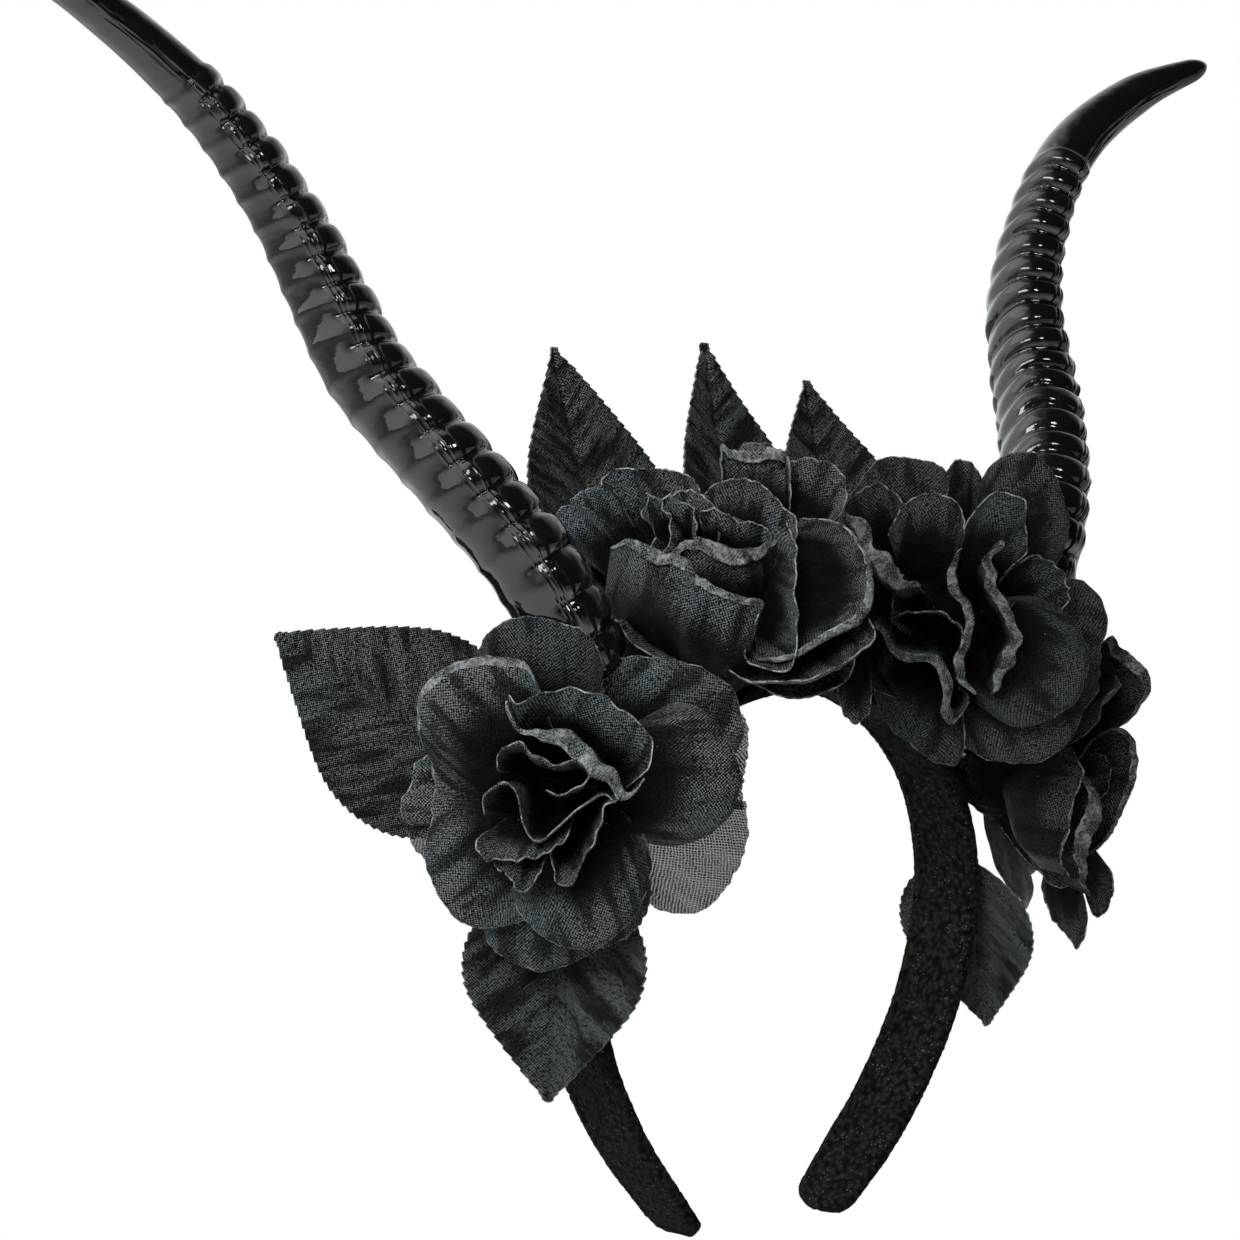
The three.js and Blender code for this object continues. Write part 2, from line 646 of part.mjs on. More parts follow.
// Leaves
function leafSolid(row, bandKeepOut) {
  const base = new THREE.Vector3(...row.base);
  const along = new THREE.Vector3(...row.tip).sub(base);
  const length = along.length();
  along.normalize();
  const face = new THREE.Vector3(...row.faces);
  face.addScaledVector(along, -face.dot(along)).normalize();
  const sideways = along.clone().cross(face);
  const steps = 2 * LEAF_TEETH;
  const half = (u) => {
    const blade = (u - LEAF_STALK) / (1 - LEAF_STALK);
    if (blade <= 0) return LEAF_STALK_WIDTH / 2;
    const tooth = Math.round(u * steps) % 2 === 0 ? LEAF_TOOTH : 0;
    const full = (row.width / 2) * Math.pow(Math.sin(Math.PI * Math.pow(blade, LEAF_BELLY)), LEAF_FULL);
    return Math.max(LEAF_STALK_WIDTH / 2, full - tooth);
  };
  const point = (u, across) => {
    const v = 2 * across - 1;
    const lift = row.fold * Math.abs(v) * half(u) / (row.width / 2) + row.bow * Math.sin(Math.PI * u);
    return base
      .clone()
      .addScaledVector(along, u * length)
      .addScaledVector(sideways, v * half(u))
      .addScaledVector(face, lift);
  };
  const blade = solidOf(sheet(point, steps, 2, CLOTH, (p) => p));
  return largestBody(blade.subtract(bandKeepOut));
}

// Assembly
const tiara = new THREE.Group();
tiara.name = "horned_tiara";
tiara.add(meshOf("headband", bandSolid(0), "felt"));
const bandKeepOut = bandSolid(GAP);
const horns = { horn_left: hornSolid(-1, bandKeepOut), horn_right: hornSolid(1, bandKeepOut) };
for (const [name, solid] of Object.entries(horns)) {
  tiara.add(meshOf(name, solid, "plastic"));
}
const keepOuts = [bandKeepOut, hornKeepOut(-1), hornKeepOut(1)];
for (const rose of ROSES) {
  const place = basis(rose.hub, rose.faces, new THREE.Vector3(0, 0, 1));
  const toLocal = place.clone().invert();
  const shift = presser(rose.presses, toLocal);
  const group = new THREE.Group();
  group.name = rose.name;
  group.applyMatrix4(place);
  group.add(meshOf(`${rose.name}_outer`, petalLayer(rose.outer, 0, shift), "petal"));
  group.add(meshOf(`${rose.name}_middle`, petalLayer(rose.middle, HUB_STEP, shift), "petal"));
  group.add(meshOf(`${rose.name}_heart`, heartSolid(rose, 2 * HUB_STEP - CLOTH / 2, shift), "petal"));
  tiara.add(group);
  tiara.add(meshOf(`${rose.name}_calyx`, calyxSolid(rose, place, keepOuts), "calyx"));
}
for (const row of LEAVES) {
  tiara.add(meshOf(row.name, leafSolid(row, bandKeepOut), "leaf"));
}
const middle = new THREE.Box3().setFromObject(tiara, true).getCenter(new THREE.Vector3());
tiara.position.set(-middle.x, -middle.y, 0);

export default tiara;
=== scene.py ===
# %% [markdown]
# # A horned tiara, dressed around its measured frame
# The frame is a set of plain solids with the right sizes and places. This lesson gives each solid the
# surface of the real thing: moulded gloss plastic, felt, satin petals and pressed cloth leaves.
# Everything is worked out from the same named sizes as the solids, in millimetres.

# %% Load the frame
import math
from collections import namedtuple

import bpy
import numpy as np
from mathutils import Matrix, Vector


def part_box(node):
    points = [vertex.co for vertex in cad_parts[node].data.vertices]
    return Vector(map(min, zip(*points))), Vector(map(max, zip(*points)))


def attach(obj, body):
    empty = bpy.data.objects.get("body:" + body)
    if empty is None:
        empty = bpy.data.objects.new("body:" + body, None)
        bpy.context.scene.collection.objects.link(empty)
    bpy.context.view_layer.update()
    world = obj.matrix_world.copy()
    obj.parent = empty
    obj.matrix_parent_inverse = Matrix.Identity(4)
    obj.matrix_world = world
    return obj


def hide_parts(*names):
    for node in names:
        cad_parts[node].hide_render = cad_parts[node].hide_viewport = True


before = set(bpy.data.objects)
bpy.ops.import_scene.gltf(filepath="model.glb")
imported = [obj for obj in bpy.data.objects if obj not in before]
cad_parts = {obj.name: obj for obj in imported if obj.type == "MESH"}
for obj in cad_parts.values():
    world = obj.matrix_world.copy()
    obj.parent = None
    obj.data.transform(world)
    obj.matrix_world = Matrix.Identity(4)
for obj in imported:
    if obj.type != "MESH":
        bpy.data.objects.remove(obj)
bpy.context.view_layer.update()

# %% [markdown]
# ## From millimetres to the frame
# The maker's sizes count from the middle of the head, and the frame counts from the middle of the whole
# tiara's box. The headband is in both, so the way from one to the other is read off its box.

# %% Millimetres to metres in the frame
MM = 0.001
BAND_MIDDLE_Y = -6.526  # middle of the headband's depth, counted from the middle of the head
band_low, band_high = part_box("headband")
HEAD_MIDDLE = np.array((band_low + band_high) / 2)
HEAD_MIDDLE[1] -= BAND_MIDDLE_Y * MM
HEAD_MIDDLE[2] = 0.0


def in_frame(points):
    """Points in millimetres from the middle of the head, as metres in the frame."""
    return np.asarray(points, float) * MM + HEAD_MIDDLE


print("middle of the head in the frame:", HEAD_MIDDLE.round(4))

# %% [markdown]
# ## The camera
# The tiara stands turned to the right, seen from a little above. A long lens keeps the two horns nearly
# the same size, so the camera stands well back. The focal length follows from how many pixels of the
# picture a millimetre takes up at the middle of the tiara.

# %% Camera
VIEW_TURN = math.radians(-40)
VIEW_RISE = math.radians(3)
VIEW_DISTANCE = 1250
VIEW_MIDDLE = np.array([-22.2, 30.4, 171.5])
PICTURE_PIXELS = 1240
PIXELS_PER_MM = 3.5

towards_camera = np.array([
    math.sin(VIEW_TURN) * math.cos(VIEW_RISE),
    -math.cos(VIEW_TURN) * math.cos(VIEW_RISE),
    math.sin(VIEW_RISE),
])
to_right = np.array([math.cos(VIEW_TURN), math.sin(VIEW_TURN), 0])
to_viewer = np.array([math.sin(VIEW_TURN), -math.cos(VIEW_TURN), 0])
eye = bpy.data.cameras.new("camera")
eye.sensor_width = 36
eye.lens = eye.sensor_width * VIEW_DISTANCE * PIXELS_PER_MM / PICTURE_PIXELS
camera = bpy.data.objects.new("camera", eye)
bpy.context.scene.collection.objects.link(camera)
camera.location = in_frame(VIEW_MIDDLE + VIEW_DISTANCE * towards_camera)
camera.rotation_euler = Vector(-towards_camera).to_track_quat("-Z", "Y").to_euler()
bpy.context.scene.camera = camera
print("lens in mm:", round(eye.lens, 1))

# %% [markdown]
# ## Curves, noise and sheets
# Every piece follows a smooth line through a few points, and every cloth edge is a little uneven.
# A centripetal curve passes through its points without loops, and a few sine waves with seeded phases
# give the same unevenness on each run.


# %% Smooth lines and uneven waves
class Line:
    """A smooth curve through points, with places along it by length."""

    def __init__(self, points):
        p = np.asarray(points, float)
        self.points = np.vstack([2 * p[0] - p[1], p, 2 * p[-1] - p[-2]])
        self.fine = np.linspace(0, 1, 1501)
        steps = np.linalg.norm(np.diff(self.at(self.fine), axis=0), axis=1)
        self.reach = np.concatenate([[0], np.cumsum(steps)])
        self.length = self.reach[-1]

    def at(self, t):
        """Points at t from 0 to 1, evenly over the stretches between the points."""
        t = np.asarray(t, float)
        spans = len(self.points) - 3
        k = np.minimum((t * spans).astype(int), spans - 1)
        w = (t * spans - k)[..., None]
        p0, p1, p2, p3 = (self.points[k + i] for i in range(4))
        d0, d1, d2 = (np.sqrt(np.linalg.norm(b - a, axis=-1))[..., None]
                      for a, b in ((p0, p1), (p1, p2), (p2, p3)))
        m1 = ((p1 - p0) / d0 - (p2 - p0) / (d0 + d1) + (p2 - p1) / d1) * d1
        m2 = ((p2 - p1) / d1 - (p3 - p1) / (d1 + d2) + (p3 - p2) / d2) * d1
        return (2 * p1 - 2 * p2 + m1 + m2) * w**3 + (3 * p2 - 3 * p1 - 2 * m1 - m2) * w**2 + m1 * w + p1

    def t_at(self, share):
        """t at a share of the curve's length."""
        return np.interp(np.asarray(share) * self.length, self.reach, self.fine)

    def tangent(self, t):
        """Unit direction of the curve at t."""
        d = self.at(np.clip(t + 1e-4, 0, 1)) - self.at(np.clip(t - 1e-4, 0, 1))
        return d / np.linalg.norm(d, axis=-1, keepdims=True)


def mix(a, b, share):
    return a + (b - a) * share


def smooth(low, high, value):
    """0 below low, 1 above high and an even bend between them."""
    s = np.clip((value - low) / (high - low), 0, 1)
    return s * s * (3 - 2 * s)


def uneven(seed, place, waves):
    """A smooth wave of height about 1 over place from -1 to 1, the same on each run."""
    dice = np.random.default_rng(seed)
    total = np.zeros_like(np.asarray(place, float))
    for k in range(1, waves + 1):
        total += dice.normal() * np.sin(0.5 * math.pi * k * place + dice.uniform(0, 2 * math.pi)) / k**0.5
    return total / math.sqrt(1 + math.log(waves))


def unit(vector):
    vector = np.asarray(vector, float)
    return vector / np.linalg.norm(vector, axis=-1, keepdims=True)


# %% [markdown]
# ## One mesh from many sheets
# A petal, a fold or a leaf is a grid of points. The grid also carries its flat layout, as the cloth was
# cut, so that the weave runs true on each petal, and its distance from the cut edges, so that the edges
# can fray. Both are stored as UV maps in millimetres. Every finished piece is then put in the place of
# one solid of the frame.

# %% Meshes from grids
Sheet = namedtuple("Sheet", "points flat edges finish")


def grid_faces(rows, columns, closed=False):
    """Quads of a grid; closed joins the last column to the first."""
    k = np.arange(rows * columns).reshape(rows, columns)
    right = np.roll(k, -1, axis=1) if closed else k[:, 1:]
    left = k if closed else k[:, :-1]
    return np.stack([left[:-1], right[:-1], right[1:], left[1:]], -1).reshape(-1, 4)


def mesh_piece(name, points, faces, materials, finish=None):
    """A smooth mesh object in the frame from points in millimetres."""
    mesh = bpy.data.meshes.new(name)
    mesh.from_pydata(in_frame(points).tolist(), [], [list(f) for f in faces])
    mesh.shade_smooth()
    for material in materials:
        mesh.materials.append(material)
    if finish is not None:
        mesh.polygons.foreach_set("material_index", finish)
    mesh.validate()
    piece = bpy.data.objects.new(name, mesh)
    bpy.context.scene.collection.objects.link(piece)
    return piece


def add_map(mesh, name, values):
    """A UV map with one pair of values for each point."""
    layer = mesh.uv_layers.new(name=name)
    corners = np.zeros(len(mesh.loops), int)
    mesh.loops.foreach_get("vertex_index", corners)
    layer.uv.foreach_set("vector", values[corners].astype(np.float32).ravel())


def cloth_piece(name, sheets, materials, thick):
    """One object of cloth sheets, each a grid, given its thickness by Solidify."""
    points, faces, finish, start = [], [], [], 0
    for sheet in sheets:
        rows, columns = sheet.points.shape[:2]
        quads = grid_faces(rows, columns) + start
        points.append(sheet.points.reshape(-1, 3))
        faces.append(quads)
        finish += [sheet.finish] * len(quads)
        start += rows * columns
    piece = mesh_piece(name, np.vstack(points), np.vstack(faces), materials, finish)
    add_map(piece.data, "flat", np.vstack([s.flat.reshape(-1, 2) for s in sheets]))
    add_map(piece.data, "edges", np.vstack([s.edges.reshape(-1, 2) for s in sheets]))
    solid = piece.modifiers.new("cloth thickness", "SOLIDIFY")
    solid.thickness = thick * MM
    solid.offset = 0
    return piece


def flat_area(sheets):
    """Area of the flat layout in square metres."""
    total = 0.0
    for sheet in sheets:
        across = np.diff(sheet.flat, axis=1)[:-1]
        along = np.diff(sheet.flat, axis=0)[:, :-1]
        total += np.abs(across[..., 0] * along[..., 1] - across[..., 1] * along[..., 0]).sum()
    return total * MM * MM


def dress(piece, node):
    """The piece stands for a solid of the frame and moves with the root body; the solid is hidden."""
    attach(piece, "root")
    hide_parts(node)


# %% [markdown]
# ## Shared finishes as node groups
# Petals, leaves and stems are woven, so the weave is one group with its own pitch in each material.
# Cut cloth frays to a lighter line along its edge, and lint sits on everything soft. Each effect puts
# out a mask or a height, and each material decides what to do with it.


# %% Helpers for node trees
def new_group(name, inputs, outputs):
    """A shader node group with named value and vector sockets."""
    group = bpy.data.node_groups.new(name, "ShaderNodeTree")
    for label, kind, start in inputs:
        socket = group.interface.new_socket(label, in_out="INPUT", socket_type=kind)
        if start is not None:
            socket.default_value = start
    for label in outputs:
        group.interface.new_socket(label, in_out="OUTPUT", socket_type="NodeSocketFloat")
    source = group.nodes.new("NodeGroupInput")
    result = group.nodes.new("NodeGroupOutput")
    return group, source, result


def wire(tree, kind, *inputs, **settings):
    """A node with its settings, its inputs linked or set in order, and None left as it is."""
    node = tree.nodes.new(kind)
    for key, value in settings.items():
        setattr(node, key, value)
    for socket, value in zip(node.inputs, inputs):
        if isinstance(value, bpy.types.NodeSocket):
            tree.links.new(value, socket)
        elif value is not None:
            socket.default_value = value
    return node


def maths(tree, operation, *inputs):
    return wire(tree, "ShaderNodeMath", *inputs, operation=operation).outputs[0]


def noise(tree, vector, scale, detail=2.0, roughness=0.5):
    node = wire(tree, "ShaderNodeTexNoise", vector)
    node.inputs["Scale"].default_value = scale
    node.inputs["Detail"].default_value = detail
    node.inputs["Roughness"].default_value = roughness
    return node.outputs["Fac"]


def ramp(tree, value, low, high, to_low=0.0, to_high=1.0):
    """Value brought from low..high to to_low..to_high with an even bend."""
    node = wire(tree, "ShaderNodeMapRange", value, low, high, to_low, to_high)
    node.interpolation_type = "SMOOTHSTEP"
    return node.outputs[0]


FLOAT = "NodeSocketFloat"
VECTOR = "NodeSocketVector"

# %% Weave group
weave, source, result = new_group(
    "weave",
    [("Flat", VECTOR, None), ("Rib", FLOAT, 0.8), ("Thread", FLOAT, 0.4), ("Slant", FLOAT, 0.6)],
    ["Height", "Shade"],
)
flat_x, flat_y, _ = wire(weave, "ShaderNodeSeparateXYZ", source.outputs["Flat"]).outputs
lean_x = maths(weave, "COSINE", source.outputs["Slant"])
lean_y = maths(weave, "SINE", source.outputs["Slant"])
across = maths(
    weave, "ADD", maths(weave, "MULTIPLY", flat_x, lean_x), maths(weave, "MULTIPLY", flat_y, lean_y))
along = maths(
    weave, "SUBTRACT", maths(weave, "MULTIPLY", flat_y, lean_x), maths(weave, "MULTIPLY", flat_x, lean_y))
wander = maths(weave, "MULTIPLY", noise(weave, source.outputs["Flat"], 0.6, 3.0), 7.0)
rib_turn = maths(weave, "DIVIDE", maths(weave, "MULTIPLY", across, 2 * math.pi), source.outputs["Rib"])
rib_wave = maths(weave, "SINE", maths(weave, "ADD", rib_turn, wander))
rib = maths(weave, "MULTIPLY_ADD", rib_wave, 0.5, 0.5)
thread_turn = maths(weave, "DIVIDE", maths(weave, "MULTIPLY", along, 2 * math.pi), source.outputs["Thread"])
thread_wave = maths(weave, "SINE", maths(weave, "ADD", thread_turn, wander))
thread = maths(weave, "MULTIPLY_ADD", thread_wave, 0.5, 0.5)
woven = maths(weave, "POWER", maths(weave, "MULTIPLY", rib, thread), 0.6)
slub = maths(weave, "MULTIPLY_ADD", noise(weave, source.outputs["Flat"], 1.4, 3.0), 0.7, 0.65)
weave.links.new(woven, result.inputs["Height"])
weave.links.new(maths(weave, "MULTIPLY", woven, slub), result.inputs["Shade"])
print("weave group:", len(weave.nodes), "nodes")

# %% Frayed edge group
frayed_edge, source, result = new_group(
    "frayed edge",
    [("Edges", VECTOR, None), ("Flat", VECTOR, None), ("Width", FLOAT, 0.8)],
    ["Mask"],
)
rim_far, side_far, _ = wire(frayed_edge, "ShaderNodeSeparateXYZ", source.outputs["Edges"]).outputs
nearest = maths(frayed_edge, "MINIMUM", rim_far, side_far)
ragged = maths(frayed_edge, "MULTIPLY_ADD", noise(frayed_edge, source.outputs["Flat"], 1.1, 3.0), 1.6, 0.1)
reach = maths(frayed_edge, "MULTIPLY", ragged, source.outputs["Width"])
spread = maths(frayed_edge, "DIVIDE", nearest, reach)
patchy = ramp(frayed_edge, noise(frayed_edge, source.outputs["Flat"], 0.2, 4.0, 0.7), 0.42, 0.62, 0.04, 1.0)
frayed = maths(frayed_edge, "MULTIPLY", ramp(frayed_edge, spread, 0.25, 1.0, 1.0, 0.0), patchy)
frayed_edge.links.new(frayed, result.inputs["Mask"])
print("frayed edge group:", len(frayed_edge.nodes), "nodes")

# %% Lint group
lint, source, result = new_group(
    "lint",
    [("Place", VECTOR, None), ("Scale", FLOAT, 900.0), ("Amount", FLOAT, 0.7)],
    ["Mask"],
)
cells = wire(lint, "ShaderNodeTexVoronoi", source.outputs["Place"])
lint.links.new(source.outputs["Scale"], cells.inputs["Scale"])
speck = ramp(lint, cells.outputs["Distance"], 0.05, 0.22, 1.0, 0.0)
patches = noise(lint, source.outputs["Place"], 160.0, 2.0)
kept = maths(lint, "GREATER_THAN", patches, source.outputs["Amount"])
lint.links.new(maths(lint, "MULTIPLY", speck, kept), result.inputs["Mask"])
print("lint group:", len(lint.nodes), "nodes")


# %% [markdown]
# ## Materials
# The petals are black polyester satin with a pale frayed line along each cut. Their colour is painted
# nearly black at the roots, as shade, and lighter towards the rims, as light, with a streaky blue-grey
# sheen painted in. Two roses have a bluer dye, and two a darker, greener copy of the satin that paints the
# shade they stand in. A few single petals are gauze, so the ground shines through between their threads.
# Leaves and stems are woven too, so one function makes all these finishes, and only its values change.


# %% Helpers for materials
def new_material(name):
    material = bpy.data.materials.new(name)
    material.use_nodes = True
    tree = material.node_tree
    return material, tree, tree.nodes["Principled BSDF"]


def use_group(tree, group, **inputs):
    node = tree.nodes.new("ShaderNodeGroup")
    node.node_tree = group
    for label, value in inputs.items():
        if isinstance(value, bpy.types.NodeSocket):
            tree.links.new(value, node.inputs[label])
        else:
            node.inputs[label].default_value = value
    return node.outputs


def uv_map(tree, name):
    return wire(tree, "ShaderNodeUVMap", uv_map=name).outputs[0]


def place_in_frame(tree):
    return wire(tree, "ShaderNodeTexCoord").outputs["Object"]


def blend_colour(tree, share, first, second):
    node = tree.nodes.new("ShaderNodeMix")
    node.data_type = "RGBA"
    for label, value in (("Factor", share), ("A", first), ("B", second)):
        socket = node.inputs[label]
        if isinstance(value, bpy.types.NodeSocket):
            tree.links.new(value, socket)
        else:
            socket.default_value = value if isinstance(value, float) else (*value, 1.0)
    return node.outputs["Result"]


def bump(tree, height, strength, distance):
    node = wire(tree, "ShaderNodeBump")
    node.inputs["Strength"].default_value = strength
    node.inputs["Distance"].default_value = distance * MM
    tree.links.new(height, node.inputs["Height"])
    return node.outputs["Normal"]


# %% Woven cloth
STREAK_SHIFT = (300.0, 210.0, 120.0)  # for each metre in the frame, so that no two petals streak alike
STREAK_STRETCH = 0.3  # streaks change this much slower along the cloth than across it
# painted sheen: the streaks lighten the colour by up to these factors, as if the satin caught the light
STREAK_BRIGHT = 1.5
STREAK_BRIGHT_VEINED = 1.7
COOL = (0.84, 0.98, 1.08)  # share of each colour in the cooler patches
CREASE = 5.0
CREASE_SHEER = 1.0


def woven_cloth(name, dark, light, edge, slant, rib, thread, fray, gloss, rough, painted_root_shade=0.0, vein=0.0,
                sheer=False):
    """Cloth with its weave, a streaky sheen and shade painted into its colour, frayed edge and lint.

    slant is the turn of the weave, rib and thread are its pitches, and fray is the width of the pale line
    along the cut, in millimetres. painted_root_shade is how far out from the root the colour is painted
    dark as shade, as a share of the way to the rim; beyond it the colour is painted lighter towards the
    rim, as light. vein is how far the painted sheen streaks lean to the sides.
    """
    material, tree, shader = new_material(name)
    flat = uv_map(tree, "flat")
    place = place_in_frame(tree)
    threads = use_group(tree, weave, Flat=flat, Rib=rib, Thread=thread, Slant=slant)
    fraying = use_group(tree, frayed_edge, Edges=uv_map(tree, "edges"), Flat=flat, Width=fray)
    specks = use_group(tree, lint, Place=place, Scale=700.0, Amount=0.66)
    across, along, _ = wire(tree, "ShaderNodeSeparateXYZ", flat).outputs
    if vein:
        half = maths(tree, "ABSOLUTE", across)
        across = maths(tree, "MULTIPLY_ADD", half, -vein, along)
        along = half
    slow = maths(tree, "MULTIPLY", along, STREAK_STRETCH)
    apart = wire(tree, "ShaderNodeVectorMath", place, STREAK_SHIFT, operation="DOT_PRODUCT")
    streak = wire(tree, "ShaderNodeCombineXYZ", across, slow, apart.outputs["Value"]).outputs[0]
    # Painted sheen: streaks of noise along the cloth lighten its colour where the satin would catch the
    # light; the same streaks also vary the roughness.
    painted_sheen_streaks = noise(tree, streak, 0.16, 4.0, 0.6)
    bright = STREAK_BRIGHT_VEINED if vein else STREAK_BRIGHT
    # Grain of the cloth, its contrast pushed so that its light specks also stand in for painted glints of
    # the satin.
    grain_and_painted_glints = noise(tree, flat, 1.4, 3.0, 0.75)
    shade = maths(tree, "MULTIPLY", threads["Shade"], ramp(tree, grain_and_painted_glints, 0.34, 0.66, 0.05, 2.3))
    painted_sheen = ramp(tree, painted_sheen_streaks, 0.36, 0.66, 0.12, bright)
    shade = maths(tree, "MULTIPLY", ramp(tree, shade, 0.14, 0.85), painted_sheen)
    # Painted shade and light: the colour is darkened from the root outwards, where the petals shade each
    # other, and painted brighter towards the rim as if lit.
    if painted_root_shade:
        from_root = wire(tree, "ShaderNodeSeparateXYZ", flat).outputs[1]
        from_rim = wire(tree, "ShaderNodeSeparateXYZ", uv_map(tree, "edges")).outputs[0]
        way_out = maths(tree, "DIVIDE", from_root, maths(tree, "ADD", from_root, from_rim))
        shade = maths(tree, "MULTIPLY", shade, ramp(tree, way_out, painted_root_shade, 1.0, 0.04, 2.3))
    cool = tuple(c * k for c, k in zip(light, COOL))
    tint = blend_colour(tree, ramp(tree, noise(tree, place, 42.0, 2.0), 0.4, 0.6), light, cool)
    colour = blend_colour(tree, shade, dark, tint)
    colour = blend_colour(tree, maths(tree, "MULTIPLY", specks["Mask"], 0.5), colour, edge)
    colour = blend_colour(tree, fraying["Mask"], colour, edge)
    tree.links.new(colour, shader.inputs["Base Color"])
    tree.links.new(ramp(tree, painted_sheen_streaks, 0.3, 0.7, rough + 0.14, rough - 0.06), shader.inputs["Roughness"])
    creasing = CREASE_SHEER if sheer else CREASE
    nap = maths(tree, "MULTIPLY", grain_and_painted_glints, 0.3)
    crease = maths(tree, "MULTIPLY_ADD", noise(tree, place, 130.0, 3.0), creasing, nap)
    height = maths(tree, "ADD", maths(tree, "MULTIPLY", threads["Height"], 0.4), crease)
    tree.links.new(bump(tree, height, 0.9, 0.8), shader.inputs["Normal"])
    shader.inputs["Specular IOR Level"].default_value = gloss
    if sheer:
        tree.links.new(ramp(tree, threads["Shade"], 0.15, 0.6, 0.5, 0.98), shader.inputs["Alpha"])
    return material


PETAL_CLOTH = woven_cloth(
    "petal satin", dark=(0.002, 0.0022, 0.0025), light=(0.225, 0.235, 0.232), edge=(0.5, 0.52, 0.52),
    slant=0.65, rib=0.7, thread=0.7, fray=0.5, gloss=0.05, rough=0.4, painted_root_shade=0.51)
# Painted shade: a darker copy of the petal satin, for the roses and the petal that stand in shade.
SHADE_PAINTED_CLOTH = woven_cloth(
    "petal satin, painted darker as shade", dark=(0.0015, 0.0017, 0.0017), light=(0.115, 0.124, 0.118),
    edge=(0.36, 0.38, 0.36), slant=0.65, rib=0.7, thread=0.7, fray=0.5, gloss=0.07, rough=0.4, painted_root_shade=0.54)
SHEER_CLOTH = woven_cloth(
    "petal gauze", dark=(0.003, 0.003, 0.0035), light=(0.17, 0.17, 0.172), edge=(0.16, 0.16, 0.16),
    slant=-1.1, rib=0.9, thread=0.7, fray=0.7, gloss=0.1, rough=0.7, sheer=True)
LEAF_CLOTH = woven_cloth(
    "leaf cloth", dark=(0.003, 0.003, 0.0028), light=(0.205, 0.213, 0.192), edge=(0.24, 0.245, 0.235),
    slant=0.8, rib=0.6, thread=0.56, fray=0.45, gloss=0.06, rough=0.36, vein=0.9)
CALYX_CLOTH = woven_cloth(
    "calyx cloth", dark=(0.004, 0.004, 0.004), light=(0.03, 0.03, 0.029), edge=(0.09, 0.09, 0.09),
    slant=0.3, rib=0.7, thread=0.5, fray=0.5, gloss=0.1, rough=0.75)
print("woven finishes:", [m.name for m in bpy.data.materials])

# %% [markdown]
# The horns are blow-moulded gloss plastic. Almost all that shows is reflection, so the colour is nearly
# black and the work is in the roughness, which is uneven where the mould was worn, and in faint dents.

# %% Horn plastic
HORN_PLASTIC, tree, shader = new_material("horn plastic")
place = place_in_frame(tree)
worn = noise(tree, place, 90.0, 4.0)
colour = blend_colour(tree, worn, (0.0015, 0.0017, 0.0015), (0.005, 0.0056, 0.005))
tree.links.new(colour, shader.inputs["Base Color"])
tree.links.new(ramp(tree, worn, 0.3, 0.75, 0.05, 0.16), shader.inputs["Roughness"])
dents = maths(tree, "MULTIPLY_ADD", noise(tree, place, 500.0, 2.0), 0.06, noise(tree, place, 85.0, 2.0))
tree.links.new(bump(tree, dents, 0.8, 1.1), shader.inputs["Normal"])
shader.inputs["Specular IOR Level"].default_value = 0.5
print("horn plastic:", len(tree.nodes), "nodes")

# %% [markdown]
# The band is wrapped in a nubby black felt, the darkest part. Its colour is painted darker between the
# nubs, as shade, and lighter on their tops, and loose fibres and lint show as paler specks.

# %% Band felt
BAND_FELT, tree, shader = new_material("band felt")
place = place_in_frame(tree)
nubs = wire(tree, "ShaderNodeTexVoronoi", place, feature="SMOOTH_F1")
nubs.inputs["Scale"].default_value = 640.0
fibres = noise(tree, place, 2600.0, 4.0, 0.7)
specks = use_group(tree, lint, Place=place, Scale=800.0, Amount=0.5)
# Painted shade: the felt's colour is darker in the hollows between the nubs and lighter on their tops.
shade = maths(tree, "MULTIPLY", ramp(tree, nubs.outputs["Distance"], 0.05, 0.7, 1.0, 0.1), fibres)
colour = blend_colour(tree, shade, (0.0004, 0.0004, 0.0003), (0.062, 0.066, 0.053))
colour = blend_colour(tree, maths(tree, "MULTIPLY", specks["Mask"], 0.8), colour, (0.3, 0.3, 0.28))
tree.links.new(colour, shader.inputs["Base Color"])
tree.links.new(ramp(tree, fibres, 0.3, 0.7, 0.85, 1.0), shader.inputs["Roughness"])
between = maths(tree, "MULTIPLY", nubs.outputs["Distance"], -1.0)
loops = maths(tree, "ADD", between, maths(tree, "MULTIPLY", fibres, 0.6))
tree.links.new(bump(tree, loops, 0.9, 0.8), shader.inputs["Normal"])
shader.inputs["Specular IOR Level"].default_value = 0.03
print("band felt:", len(tree.nodes), "nodes")

# %% [markdown]
# ## The headband
# The real band is a sprung plastic strip in a felt sleeve, closed by a seam near its back edge. A tube of
# rounded sections follows the arch. The sleeve's nubs show on its outline, so the skin is moved in and
# out a little by waves that repeat nowhere, and the seam is pressed in as a groove.

